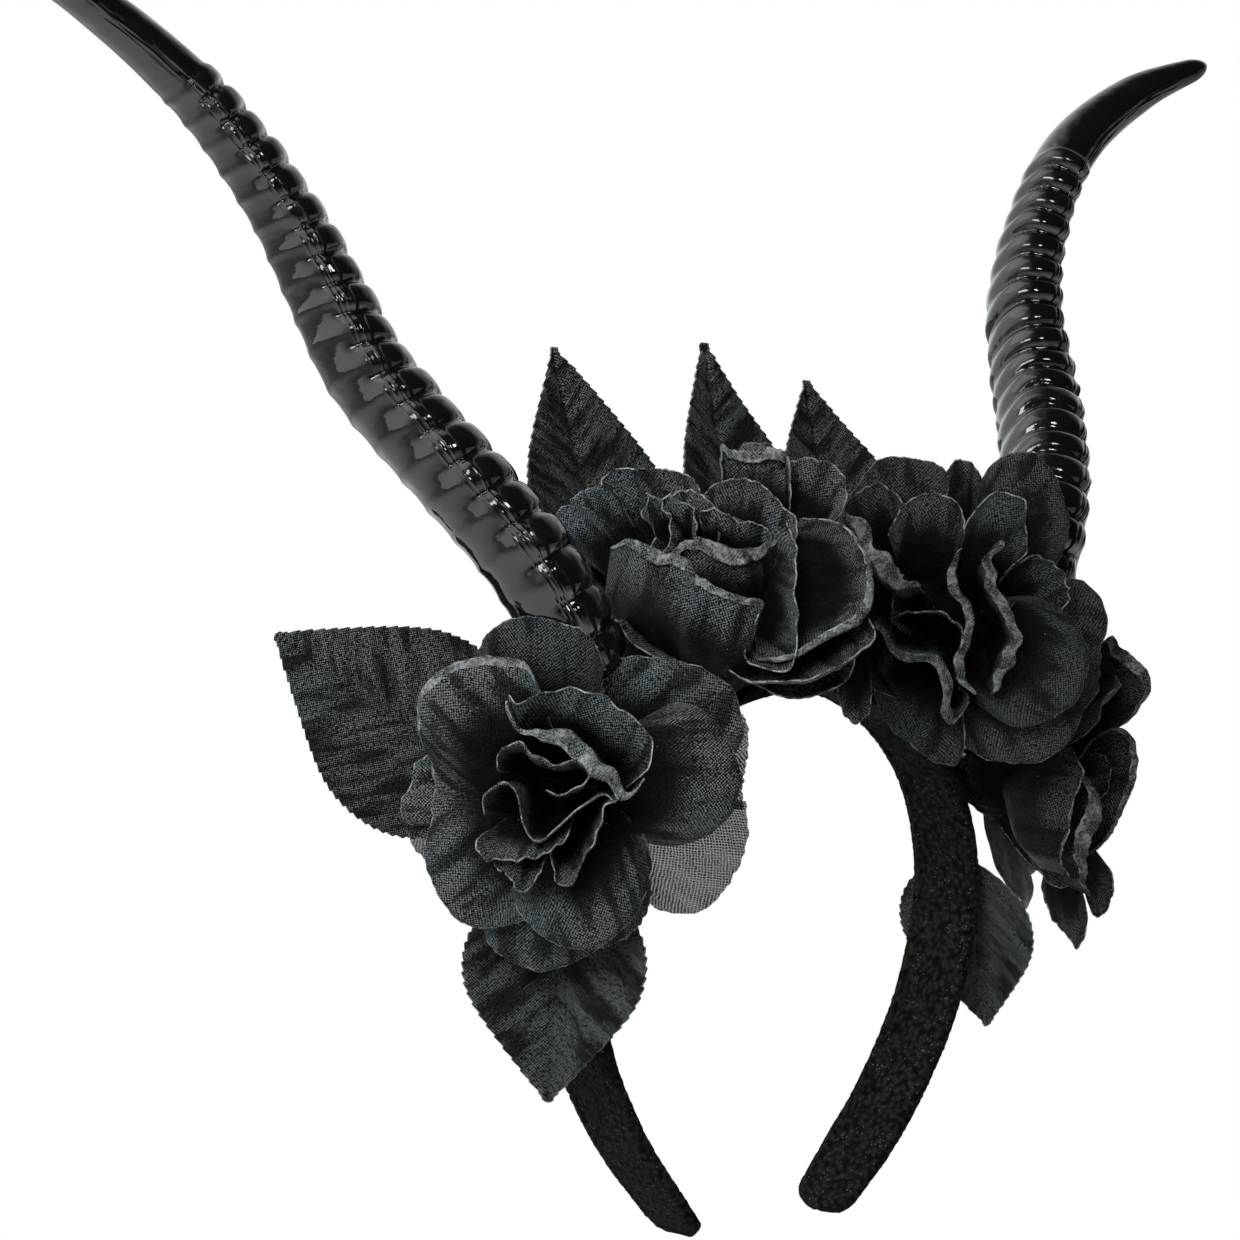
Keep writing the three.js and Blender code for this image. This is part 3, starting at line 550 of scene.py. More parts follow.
# %% Headband
BAND_LINE = [(0, 156), (36, 147.5), (61, 126), (71.5, 96), (67, 62), (52, 32), (22, -4)]
BAND_WIDTH = 25
BAND_THICK = 4.6
BAND_LEAN = math.radians(3.7)
BAND_FORWARD = 0.9
BAND_STEPS = 30
BAND_END_TAPER = 0.8  # share of the width at each end, reached over two of those steps
BAND_CORNER = 0.42  # corners of the section: 1 makes an ellipse, 0 a box
BAND_SEAM = 0.66  # where the seam runs, as a share of the half width towards the back
SEAM_DEEP = 0.45
SEAM_WIDE = 0.5
WELT_HIGH = 0.25  # the felt swells beside the seam
WELT_WIDE = 0.6
WELT_AWAY = 1.1
BAND_NUB = 0.16  # height of the felt's nubs
NUB_WAVES = 40
NUB_SEEDS = 4000  # seeds from end to end of the band, so that each ring has its own nubs
BAND_SIDES = 72
BAND_RINGS = 420
BAND_CUT = 0.0125  # share of the line below the ground at each end
BAND_END_ROUND = 7  # the ends are rounded over this length

band_half = [(out, 0, up) for out, up in BAND_LINE]
band_line = Line([(-x, y, z) for x, y, z in band_half[:0:-1]] + band_half)


def band_ring(u, sides):
    """Ring of the band's skin at a share u of its length, before the band leans."""
    t = band_line.t_at(u)
    tangent = band_line.tangent(t)
    wide = np.array([0.0, 1.0, 0.0])
    inward = np.cross(wide, tangent)
    taper = mix(BAND_END_TAPER, 1, min(1, min(u, 1 - u) * BAND_STEPS / 2))
    from_end = (min(u, 1 - u) - BAND_CUT) * band_line.length / BAND_END_ROUND
    taper = taper * math.sqrt(max(0.02, 1 - max(0.0, 1 - from_end) ** 2))
    turn = (np.arange(sides) + 0.5) / sides * 2 * math.pi
    squared = lambda value: np.sign(value) * np.abs(value) ** BAND_CORNER
    thick = BAND_THICK / 2 * squared(np.cos(turn))
    across = BAND_WIDTH * taper / 2 * squared(np.sin(turn))
    far = np.abs(across / (BAND_WIDTH * taper / 2) - BAND_SEAM) * BAND_WIDTH / 2
    seam = SEAM_DEEP * np.exp(-((far / SEAM_WIDE) ** 2))
    seam = seam - WELT_HIGH * np.exp(-(((far - WELT_AWAY) / WELT_WIDE) ** 2))
    seed = int(u * NUB_SEEDS)
    around = np.linspace(-1, 1, sides)
    thick = thick * (1 + (BAND_NUB * uneven(seed, around, NUB_WAVES) - seam) / (BAND_THICK / 2))
    across = across * (1 + BAND_NUB * uneven(seed + 7, around, NUB_WAVES) / (BAND_WIDTH / 2))
    return band_line.at(t) + thick[:, None] * inward + across[:, None] * wide


def lean_band(points):
    """The band's lean to the front and the cut that stands on the ground."""
    x, y, z = np.moveaxis(np.asarray(points, float), -1, 0)
    leant = np.stack([
        x,
        y * math.cos(BAND_LEAN) - z * math.sin(BAND_LEAN) - BAND_FORWARD,
        y * math.sin(BAND_LEAN) + z * math.cos(BAND_LEAN),
    ], -1)
    leant[..., 2] = np.maximum(leant[..., 2], 0)
    return leant


def tube(rings):
    """Points and faces of a closed tube through rings of equal length."""
    rows, columns = len(rings), len(rings[0])
    points = np.vstack([*rings, rings[0].mean(0)[None], rings[-1].mean(0)[None]])
    faces = [list(f) for f in grid_faces(rows, columns, closed=True)]
    last = (rows - 1) * columns
    for k in range(columns):
        n = (k + 1) % columns
        faces.append([rows * columns, n, k])
        faces.append([rows * columns + 1, last + k, last + n])
    return points, faces


band_places = np.linspace(BAND_CUT, 1 - BAND_CUT, BAND_RINGS)
band_rings = [lean_band(band_ring(u, BAND_SIDES)) for u in band_places]
headband = mesh_piece("headband_felt", *tube(band_rings), [BAND_FELT])
dress(headband, "headband")
print("headband:", len(headband.data.polygons), "faces")

# %% [markdown]
# ## The horns
# Each horn is a long hollow moulding with a smooth tip. Its rounded rings stand out on the front, sweep
# down round the inner side, and fade to shallow dents with narrow crests on the outer side and the back.
# The halves of the mould left a few thin, broken ridges along the front. Rings could be separate beads,
# but a tube whose radius depends on the place along it and around it gives all of this in one surface.

# %% Horns
# skew lifts the left horn and lowers the right one; across is the width of the horn there
HornRow = namedtuple("HornRow", "out back up skew across")
HORN_LINE = [
    HornRow(59, -12, 137, 0, 25.5),
    HornRow(73, -19, 157, -1.5, 26),
    HornRow(87.8, -22.5, 180, -1.8, 26),
    HornRow(97.6, -19.5, 196, -2.4, 25.2),
    HornRow(111.7, -6.5, 217, -1.2, 24.8),
    HornRow(126, 12, 241, 1.3, 24.2),
    HornRow(132.8, 22.5, 263, 2, 22),
    HornRow(141.8, 28.5, 283, 2.4, 19),
    HornRow(162.8, 34, 311.5, 1.4, 16),
    HornRow(196, 37, 334, 3.6, 12.2),
    HornRow(225.5, 33.5, 344.8, 3.6, 6),
]
HORN_RINGS = 23
HORN_RINGED = {-1: 0.785, 1: 0.75}  # share of the left and the right horn that has rings
HORN_CROWDING = 0.16  # the rings draw together towards the tip by this share
HORN_SWELL = 2.4  # from the groove to the crest of a ring
HORN_DENT = 0.22  # what is left of the rings on the outer side
HORN_DENT_BACK = 0.36  # and on the back
HORN_LEAN = 0.16  # rings climb by this much of their pitch towards the outer side
HORN_SWEEP = 1.0  # and drop by this much of it round the inner side
HORN_RING_TURN = math.radians(25)  # the rings stand out most here, towards the inner side
HORN_OVAL = 0.06  # the section is longer by this share one way
HORN_OVAL_TURN = math.radians(50)
HORN_SEAM_TURN = math.radians(20)  # turn of the mould line from the front
HORN_SIDES = 60
RING_STEPS = 12
TIP_STEPS = 60
OUTER_FADE = np.radians([34, 80])  # the rings fade between these turns towards the outer side
INNER_FADE = np.radians([45, 112])  # between these past the inner side
SWEEP_SPAN = np.radians([50, 150])  # and drop between these
CREST_NARROW = 2.5  # added power of the wave on the outer side, for narrow crests
LOBE_FULL = 3.2  # power of the wave on the front, for full round rings
RING_VARY = 0.12  # the rings differ in height by this share
TIP_ROUND = 0.975  # the tip is rounded from here
RIDGE_LINES = (-1.7, -0.55, 0.55, 1.6)  # places of the thin ridges beside the mould line
RIDGE_HIGH = 0.22
RIDGE_WIDE = 0.28
RIDGE_WANDER = 0.5
RIDGE_SIDES = 33
RIDGE_SPAN = np.radians([-14, 14])


def half_turns(angle):
    """An angle brought between half a turn back and half a turn on."""
    return (angle + math.pi) % (2 * math.pi) - math.pi


def horn_skin(side):
    """Rings of a horn's skin, base to tip."""
    line = Line([(side * r.out, r.back, r.up - side * r.skew) for r in HORN_LINE])
    across = np.array([r.across for r in HORN_LINE])
    seam_turn = side * HORN_SEAM_TURN
    around = np.linspace(0, 2 * math.pi, HORN_SIDES, endpoint=False)
    beside_seam = seam_turn + np.linspace(*RIDGE_SPAN, RIDGE_SIDES)
    turn = np.sort(np.concatenate([around, beside_seam]) % (2 * math.pi))
    ringed = HORN_RINGED[side]
    ring_rows = np.arange(0, HORN_RINGS, 1 / RING_STEPS) / HORN_RINGS
    q = np.concatenate([ring_rows, np.linspace(1, 2, TIP_STEPS)])
    on_rings = ringed * q * (1 + HORN_CROWDING * (1 - q))
    on_tip = mix(ringed, 1, np.sin(math.pi / 2 * (q - 1)))
    u = np.where(q < 1, on_rings, on_tip)
    inner = half_turns(-side * turn)
    off_ring = half_turns(inner - HORN_RING_TURN)
    off_seam = half_turns(turn - seam_turn)
    outer_fade = smooth(*OUTER_FADE, -off_ring)
    inner_fade = smooth(*INNER_FADE, off_ring)
    fronting = mix(mix(1, HORN_DENT, outer_fade), HORN_DENT_BACK, inner_fade)
    sweep = HORN_LEAN * np.sin(inner) + HORN_SWEEP * smooth(*SWEEP_SPAN, inner)
    rings = []
    for row, place in zip(q, u):
        t = line.t_at(place)
        radius = np.interp(t * (len(across) - 1), np.arange(len(across)), across) / 2
        tangent = line.tangent(t)
        front = unit(np.array([0, -1.0, 0]) - tangent * -tangent[1])
        sideways = np.cross(tangent, front)
        phase = row * HORN_RINGS + sweep
        narrow = (0.5 - 0.5 * np.cos(2 * math.pi * phase)) ** (1 + CREST_NARROW * outer_fade)
        lobe = mix(narrow, 1 - np.abs(2 * (phase % 1) - 1) ** LOBE_FULL, fronting)
        lobe = lobe * (1 + RING_VARY * np.sin(2.4 * np.floor(phase)))
        last = 1 - smooth(0.985, 1.0, phase / HORN_RINGS)
        skin = radius + HORN_SWELL * fronting * last * (lobe - 0.6) * min(1, radius / 9)
        skin = skin * (1 + HORN_OVAL * np.cos(2 * (turn - side * HORN_OVAL_TURN)))
        for number, ridge in enumerate(RIDGE_LINES):
            wander = RIDGE_WANDER * uneven(70 + number, 14 * place - 7, 6)
            strength = RIDGE_HIGH * np.clip(0.6 + 0.8 * uneven(80 + number, 24 * place - 12, 6), 0, 1.5)
            far = off_seam * radius - ridge - wander
            skin = skin + strength * np.exp(-((far / RIDGE_WIDE) ** 2)) * min(1, radius / 7)
        past = max(0.0, (place - TIP_ROUND) / (1 - TIP_ROUND))
        skin = skin * math.sqrt(max(0.0, 1 - past**2) + 1e-4)
        spoke = np.cos(turn)[:, None] * front + np.sin(turn)[:, None] * sideways
        rings.append(line.at(t) + skin[:, None] * spoke)
    return rings


for name, side in (("horn_left", -1), ("horn_right", 1)):
    horn = mesh_piece(name + "_moulding", *tube(horn_skin(side)), [HORN_PLASTIC])
    dress(horn, name)
    print(horn.name, len(horn.data.polygons), "faces")

# %% [markdown]
# ## Petals
# A cloth rose is cut from flat sheets of satin. Each petal is pressed hot over a ball, so that it bellies
# out, and its rim is rolled over by hand. The rim is what the eye follows, so a petal here is drawn from
# its rim: the line as it is seen from the front, how near it comes to the viewer at its start, middle and
# end, the root where it leaves the stem, how far it bellies and how wide its lip turns over. A small lip is
# a roll, and from a size of 1 it is folded over as a flat band that shows the back of the cloth. All of it
# is in millimetres right, up and towards the viewer from the hub of its rose.

# %% Petal tables
OWN, GAUZE, SHADE_PAINTED = range(3)  # cloth of a petal: its rose's own, gauze, or the darker copy that paints shade
# near: rim towards the viewer at its start, middle and end; lip: below 0 it turns to the other side;
# full: how early the petal opens on its way from root to rim; neck: its width at the root, as a share
Ruffle = namedtuple("Ruffle", "layer near root belly lip rim full cloth neck", defaults=(0.3, OWN, 0.14))
Rose = namedtuple("Rose", "name cloth hub foot faces ruffles petals presses")


def dish(right, up, radius):
    """Rim of a round dish that closes the heart of a rose from behind."""
    turns = np.linspace(0, 1.9 * math.pi, 9)
    return [(right + radius * math.cos(t), up + radius * math.sin(t)) for t in turns]


ROSE_A = [
    Ruffle("outer", (8, 19, 17), (-3, 8, 3), 4, 0, [
        (-25, 37), (-23.5, 41.5), (-18.5, 47.7), (-13, 49.3), (-6, 49), (0, 47.7), (5.6, 43.7),
        (8.8, 37), (8.8, 30)], 0.3, SHADE_PAINTED),
    Ruffle("outer", (4, 3, 3), (-10, 0, 2), 4, 0, [
        (-37, 12.5), (-41, 9), (-42.4, 3.7), (-45, -0.5), (-44.5, -6.2), (-38, -7.5)]),
    Ruffle("outer", (2, 1, 1), (-10, -2, 1), 2, 0, [
        (-41, -2), (-43.5, -7), (-42, -13), (-38, -17), (-33, -18)], 0.3, GAUZE),
    Ruffle("outer", (4, 7, 4), (0, -6, 3), 5, 0, [
        (-23.7, -33), (-21, -39), (-15.7, -43), (-7.7, -46), (-1, -44.8), (4.3, -42.2), (11, -38.2),
        (19, -32)]),
    Ruffle("outer", (7, 9, 7), (2, -5, 4), 4, 0, [
        (2, -38), (8, -39.5), (14, -37), (19.5, -32), (21.5, -26), (21, -20)]),
    Ruffle("outer", (5, 5, 4), (8, 8, 3), 5, 0, [
        (8.8, 28), (9.6, 35.7), (15, 37.8), (24.3, 37.8), (35, 35.7), (41.6, 31), (45.6, 25), (46, 17),
        (44, 12)]),
    Ruffle("outer", (1, 2, 2), (8, -4, 1), 3, 0, [
        (46.9, -1), (47.5, -13.6), (43, -23), (36.3, -29.6), (28.3, -31), (23, -29.6),
        (19, -24)], 0.3, GAUZE),
    Ruffle("outer", (3, 1, 2), (12, 4, 1), 2, 0, [
        (44, 26), (47.5, 20), (47.8, 12), (46.5, 4), (46.5, -3)], 0.3, GAUZE),
    Ruffle("middle", (23, 16, 11), (-8, 8, 8), 7, -1.2, [
        (-7.7, 30.4), (-11.7, 35.2), (-18.4, 35.7), (-26.4, 35.4), (-33, 33), (-37.9, 27.7),
        (-39.2, 21), (-37.9, 14.4), (-35.7, 9.8), (-34.5, 3.2)]),
    Ruffle("middle", (9, 10, 15), (-6, -2, 6), 6, 0, [
        (-35, 4), (-36.8, -1.5), (-36, -4), (-38.4, -11), (-38.7, -16.3), (-35.7, -24.3),
        (-30.4, -31.5), (-23.7, -33.9), (-17, -33.4), (-11.7, -31.5)]),
    Ruffle("middle", (16, 16, 15), (2, -4, 7), 6, 0, [
        (-15.7, -24.3), (-11.7, -31), (-6.4, -36.3), (2.9, -39.2), (10.9, -36.3), (17.6, -29.6),
        (20.8, -21.6), (21.6, -15), (20.3, -9)]),
    Ruffle("middle", (15, 13, 14), (8, 4, 6), 8, 0, [
        (21.6, 21), (24, 24.5), (28.3, 26.2), (33.6, 25.8), (37.6, 22.4), (43, 14.4), (45.6, 6.4),
        (44.3, -1.6), (39, -7.5), (32.3, -11), (24.3, -11.5), (17, -8.3)]),
    Ruffle("heart", (25, 28, 26), (2, 11, 9), 3, 0.5, [
        (-15.5, 29.5), (-13, 27.4), (-7.6, 28.9), (0, 30.2), (9.5, 28.1), (16, 22.9), (21.8, 17.6),
        (21.3, 11), (18.7, 8)], 0.6),
    Ruffle("heart", (26, 31, 29), (0, 8, 9), 2, -1.7, [
        (-15.5, 28.5), (-13.7, 21), (-7.6, 19.7), (-1, 21), (4.2, 17.6), (10.8, 10.5), (16.6, 3.9),
        (19.2, 6.6)], 0.7),
    Ruffle("heart", (30, 31, 29), (-4, 6, 9), 0, 0.6, [
        (-18.2, 10), (-18.4, 13), (-16.8, 15.4), (-12.9, 16.3), (-9, 13.1), (-2.4, 11), (4.2, 11.2),
        (5.7, 9.2), (2.9, 5.2), (-2.4, 3.1), (-5.8, 4.5)], 0.8),
    Ruffle("heart", (27, 30, 28), (-3, -1, 9), 0, 0.6, [
        (-22.1, -2.1), (-21.6, 3.9), (-16.8, 6.6), (-13.7, 4.5), (-12.4, -0.8), (-10.3, -7.4),
        (-7.6, -8.7), (-3.7, -6.1), (2.9, -0.8), (9.5, 3.1), (12.5, 1)], 0.8),
    Ruffle("heart", (25, 28, 27), (-5, -4, 9), 2, 0.5, [
        (-24.2, -9), (-23, -12.6), (-19.5, -14), (-9, -13.2), (-4.5, -11.3), (0, -7)], 0.7),
    Ruffle("heart", (24, 26, 25), (-5, -6, 9), 2, 0.5, [
        (-19.5, -14.5), (-15.5, -19), (-12.9, -22), (-9.7, -20.5), (-5.8, -14)], 0.7),
    Ruffle("heart", (26, 27, 29), (2, -4, 9), 0, 0.5, [
        (-5, -11), (-3.7, -17), (-2.4, -20.5), (0.3, -20.5), (5.5, -11.3), (9.5, -2.1), (13, 2)], 0.7),
]
ROSE_A.append(Ruffle("heart", (7, 7, 7), (-2, 3, 3), 0, 0, dish(-2, 3, 17), 0.3, OWN, 0.02))
ROSE_B = [
    Ruffle("outer", (-2, -8, -4), (-8, 20, 2), -4, 0.6, [
        (-27.3, 31), (-28.7, 44), (-29.3, 50), (-26.8, 52.5), (-19, 53.3), (-10.8, 52.8), (-3.9, 50),
        (-1.7, 45)]),
    Ruffle("outer", (-4, -8, -4), (14, 34, -2), -3, 1.6, [
        (3.2, 52), (3.6, 60.5), (5.6, 58.8), (12.2, 58), (17, 59), (21, 57.5), (22.5, 46)], 0.8),
    Ruffle("outer", (-10, -12, -8), (14, 34, -6), 3, 0, [
        (6, 54), (10, 61), (15, 61.5), (18.5, 59.7), (21.5, 57), (22.5, 48)], 0.8),
    Ruffle("outer", (-6, -10, -6), (22, 34, -4), -3, 0, [
        (21, 50), (22, 55.8), (28.5, 57), (34, 56.4), (37.6, 52.8), (38.7, 48), (37, 42)]),
    Ruffle("outer", (2, 0, 2), (-18, 20, 2), 4, 0, [
        (-36, 30), (-41, 37), (-42.5, 42.5), (-38.4, 44), (-33.7, 43), (-31, 39.5), (-29.8, 34),
        (-27.3, 29)]),
    Ruffle("outer", (0, -2, 0), (-8, 12, 0), 2, 0, [
        (-24, 20), (-29, 12), (-29.5, 2), (-24, -5), (-16, -8)]),
    Ruffle("outer", (-4, -6, -4), (-16, 22, 0), 3, 0, [
        (-40, 40), (-38, 46), (-33, 49), (-28.5, 49.5), (-25, 46)]),
    Ruffle("outer", (22, 30, 22), (12, 14, 4), -4, 0.9, [
        (0.8, 2.6), (7.7, -2), (16.9, -3), (26, -3), (35.4, 1.6), (44, 8.4), (43, 14)]),
    Ruffle("outer", (14, 22, 16), (8, 10, 2), -3, 0, [
        (-26, 14), (-20, 5), (-10, 1), (3, -1), (10, -4), (21.5, -7), (33, -5.5), (38, -2), (40, 4)]),
    Ruffle("outer", (12, 13, 11), (40, 3, 9), 1.5, 0, [
        (36.5, -1.5), (34.8, -6.4), (37, -13.3), (39.8, -15.7), (43.4, -12.7), (44.2, -5.2),
        (43, -1)], 0.6),
    Ruffle("middle", (14, 32, 31), (-4, -3, 10), 8, 1.3, [
        (-26.8, 33), (-22.4, 35), (-17.7, 33.8), (-13, 31.6), (-9.7, 31.3), (-6, 28.3), (-2.8, 25.3),
        (3, 22.5), (8.8, 20.4), (13.8, 19), (12.6, 15), (11, 10)], 1),
    Ruffle("middle", (16, 23, 15), (4, 8, 6), 4, 1.6, [
        (-11, 30), (-10, 33), (-6, 35.6), (-0.5, 34.5), (5.2, 32.6), (12.2, 33), (18, 35.5)], 1),
    Ruffle("middle", (30, 30, 6), (7, 22, 10), -3, 0.6, [
        (9, 6), (10, 2.5), (13.3, 1.5), (21.5, 2.5), (23.2, 8), (23.4, 14), (22.5, 24), (23, 33),
        (21, 39)], 0.4),
    Ruffle("middle", (30, 26, 2), (18, 26, 6), -5, 1.1, [
        (12.2, 3), (21.5, 2.8), (28.5, 6.5), (35.4, 11), (41, 14.5), (43.4, 20), (43.6, 26),
        (42.3, 30.5), (36.2, 38.7), (25, 39.5)]),
    Ruffle("middle", (0, -3, 4), (8, 28, 2), -3, 0.7, [
        (-3, 44), (0.8, 48.3), (7.7, 49.9), (12.2, 49.4), (16.9, 46.4), (20.2, 43), (23.8, 39),
        (23, 33)]),
    Ruffle("heart", (6, 8, 12), (-9, 30, 4), 2, 0.5, [
        (-18, 40), (-17.7, 47), (-14.9, 45.3), (-11.9, 41), (-11.3, 35), (-12.5, 31)], 0.6),
    Ruffle("heart", (5, 8, 11), (-5, 30, 3), 2, 0.5, [
        (-13.5, 42), (-13.4, 45.3), (-9.7, 46.4), (-5, 43), (-3.8, 38.4), (-4.5, 33)], 0.6),
    Ruffle("heart", (3, 5, 8), (1, 31, 2), 2, 0.5, [
        (-11, 45), (-9, 47), (-3.9, 47.8), (0.8, 44.2), (2.5, 39), (2, 34)], 0.6),
    Ruffle("heart", (6, 8, 8), (6, 30, 3), 2, 0.6, [
        (-2, 38), (-2.8, 42), (1.9, 43), (5.2, 41), (8.5, 39.2), (12.2, 39.5), (15.7, 37.3),
        (17, 34)], 0.6),
]
ROSE_B.append(Ruffle("heart", (4, 4, 4), (0, 20, 0), 0, 0, dish(0, 22, 20), 0.3, OWN, 0.02))
ROSE_C = [
    Ruffle("outer", (4, 2, 6), (-8, 16, 0), 3, 0, [
        (-28, 38), (-26, 44), (-20.4, 51.3), (-14.7, 54.4), (-6.2, 53.5), (0, 51.3), (1.5, 46),
        (-1, 40)]),
    Ruffle("outer", (-4, -5, -4), (4, 16, -4), 2, 0, [
        (-1, 44), (2, 50.5), (4.5, 53), (7.4, 52.7), (10.5, 50), (12, 44)]),
    Ruffle("outer", (-1, -6, 4), (12, 14, 0), 5, 0, [
        (11, 42), (11.3, 47), (15, 52), (22, 55), (27.8, 54.4), (32.6, 48.4), (34.8, 42.8),
        (36.8, 35.7), (35.4, 28.6), (32, 23), (26, 19)]),
    Ruffle("outer", (15, 20, 20), (-4, -2, 8), 5, 0, [
        (-17, 0), (-19, -5.4), (-20.4, -13.9), (-16, -22.4), (-9, -28), (-2, -32.3), (2.8, -32.3),
        (5, -26.6), (4.5, -20)]),
    Ruffle("outer", (16, 14, 8), (12, -2, 4), 6, 0, [
        (3, -18), (4.5, -26), (10.5, -31), (22, -32.9), (29, -30.9), (36.3, -23.8), (39.7, -15.3),
        (40.5, -8), (36, 0)]),
    Ruffle("middle", (22, 27, 28), (-8, 16, 4), -2, 2.2, [
        (-28.9, 38.5), (-26, 32.9), (-23.2, 25.8), (-19, 20), (-13.3, 17.6), (-8, 18.6)], 0.6),
    Ruffle("middle", (10, 10, 8), (-14, 22, 2), 2, 0.5, [
        (-28.8, 36), (-28.3, 40), (-24.6, 44), (-19, 46), (-14.2, 43.6), (-9, 36)]),
    Ruffle("middle", (10, 12, 12), (-4, 16, 4), 3, 0.6, [
        (-16, 32), (-12, 40), (-4, 43.5), (2, 42), (5, 36), (4, 28)]),
    Ruffle("middle", (12, 14, 18), (8, 14, 4), 4, 0.6, [
        (5, 31), (7, 37), (10.8, 41.4), (15, 43.6), (20.7, 41.4), (22.4, 34.3), (22, 27.2),
        (17.8, 23)]),
    Ruffle("middle", (16, 14, 10), (10, 14, 4), 4, 0.6, [
        (20, 24), (24, 27), (29, 25), (33, 20), (34, 13), (30, 8)]),
    Ruffle("middle", (20, 20, 22), (12, 4, 8), 9, 0, [
        (17, 10), (20.7, 14.4), (27.8, 13.9), (34.8, 8.8), (39, 1.7), (39.7, -5.4), (37.7, -12.5),
        (32, -18), (25, -21), (17.8, -21), (12.2, -18), (7, -12)]),
    Ruffle("middle", (22, 26, 24), (-2, 2, 8), 2, 0.5, [
        (-16, 9), (-9, 11), (-2, 10), (2.8, 6.8), (4, 0.3), (4.2, -8)], 0.7),
    Ruffle("heart", (26, 30, 28), (5, 7, 8), 0, -1.6, [
        (3.5, 29), (1.4, 23), (2.8, 17.3), (5.7, 13), (7, 8.8), (5.7, 3), (4.2, -2.5), (5, -8.2),
        (7.5, -12)], 0.8),
    Ruffle("heart", (26, 31, 29), (12, 7, 8), 0, 1.5, [
        (14, 31), (10.5, 26), (9.9, 21), (11.3, 15.9), (15, 10.2), (16.7, 5.4), (15, -1), (12.7, -6.8),
        (11.3, -12)], 0.8),
    Ruffle("heart", (24, 30, 27), (-4, -1, 9), 0, -1.9, [
        (-20, 8), (-17, 4.5), (-14.7, 0.5), (-9, -1), (-3.4, -1.7), (0, -5.4), (0.8, -11), (0, -16),
        (3, -18), (6, -14)], 0.8),
]
ROSE_C.append(Ruffle("heart", (7, 7, 7), (4, 8, 3), 0, 0, dish(4, 10, 19), 0.3, OWN, 0.02))
ROSE_D = [
    Ruffle("outer", (6, 6, 6), (10, 0, 4), 2, 0, [(8, 21), (-3, 20), (-9, 8), (-6, -6), (3, -14)]),
    Ruffle("outer", (8, 3, 8), (16, 14, 6), -4, 1.2, [
        (24, 28), (26, 35), (29.5, 37), (34.8, 38.6), (36.8, 40), (39, 36.5), (42, 34.2), (46.5, 29.8),
        (48.5, 25.4), (45.6, 19.6), (40.6, 14.6), (34, 11)]),
    Ruffle("outer", (14, 8, 14), (16, 2, 8), -4, 1, [
        (24, 2), (27.5, 6), (31.9, 10.8), (37.7, 13.7), (42, 11.7), (43.9, 5), (42.7, -2.3),
        (39.2, -11), (35.4, -18.4), (29, -23)]),
    Ruffle("outer", (15, 17, 18), (8, -2, 12), 4, 0, [
        (6.5, 2), (6.8, -8), (11.4, -21.3), (17.3, -30), (23, -32), (26, -28)]),
    Ruffle("outer", (13, 15, 14), (22, -24, 14), 2, 0.5, [
        (16.5, -32), (17.8, -36), (20.2, -41.8), (24.6, -46.8), (26.6, -49.7), (29, -44.7), (29.5, -40),
        (28, -33)]),
    Ruffle("outer", (9, 7, 10), (26, -18, 8), 2, 0.5, [
        (30, -22), (33.5, -24.3), (36.3, -27.2), (37.4, -31.6), (35.4, -40.4), (32.5, -41),
        (29.5, -34)]),
    Ruffle("middle", (22, 30, 26), (5, 0, 16), 6, 1.7, [
        (20, 14), (23, 9.4), (26, 3.5), (23.7, -5.3), (21.6, -14), (20.2, -22.8), (22.5, -27.5)], 1),
    Ruffle("middle", (20, 25, 20), (12, -4, 12), 4, 1.5, [
        (24.5, 6), (27.5, 0.6), (31, -4.4), (31.9, -9.6), (29, -17), (28, -25.7), (29.5, -34)], 1),
    Ruffle("heart", (4, 8, 4), (18, -2, 2), 0, 0.5, [(32, 8), (36, 3), (35, -5), (30, -10)], 0.8),
    Ruffle("heart", (-2, -4, -2), (18, -2, -2), 0, 0.5, [(33, 6), (37, 0), (34, -8)], 0.8),
]

# %% [markdown]
# The sides of the roses that face the band are drawn more simply: each petal by its turn about the rose's
# own axis, its flat size, the slope where it starts, and how it rises, curls, cups and waves.

# %% Roses
Petal = namedtuple("Petal", "layer turn length width lift rise curl cup wave")
PRESS_REACH = 5
PRESS_GAP = 0.4
PETAL_CLOTH_THICK = 0.4
BLANK_FILL = 0.8  # share of a square blank that the petals cut from it fill
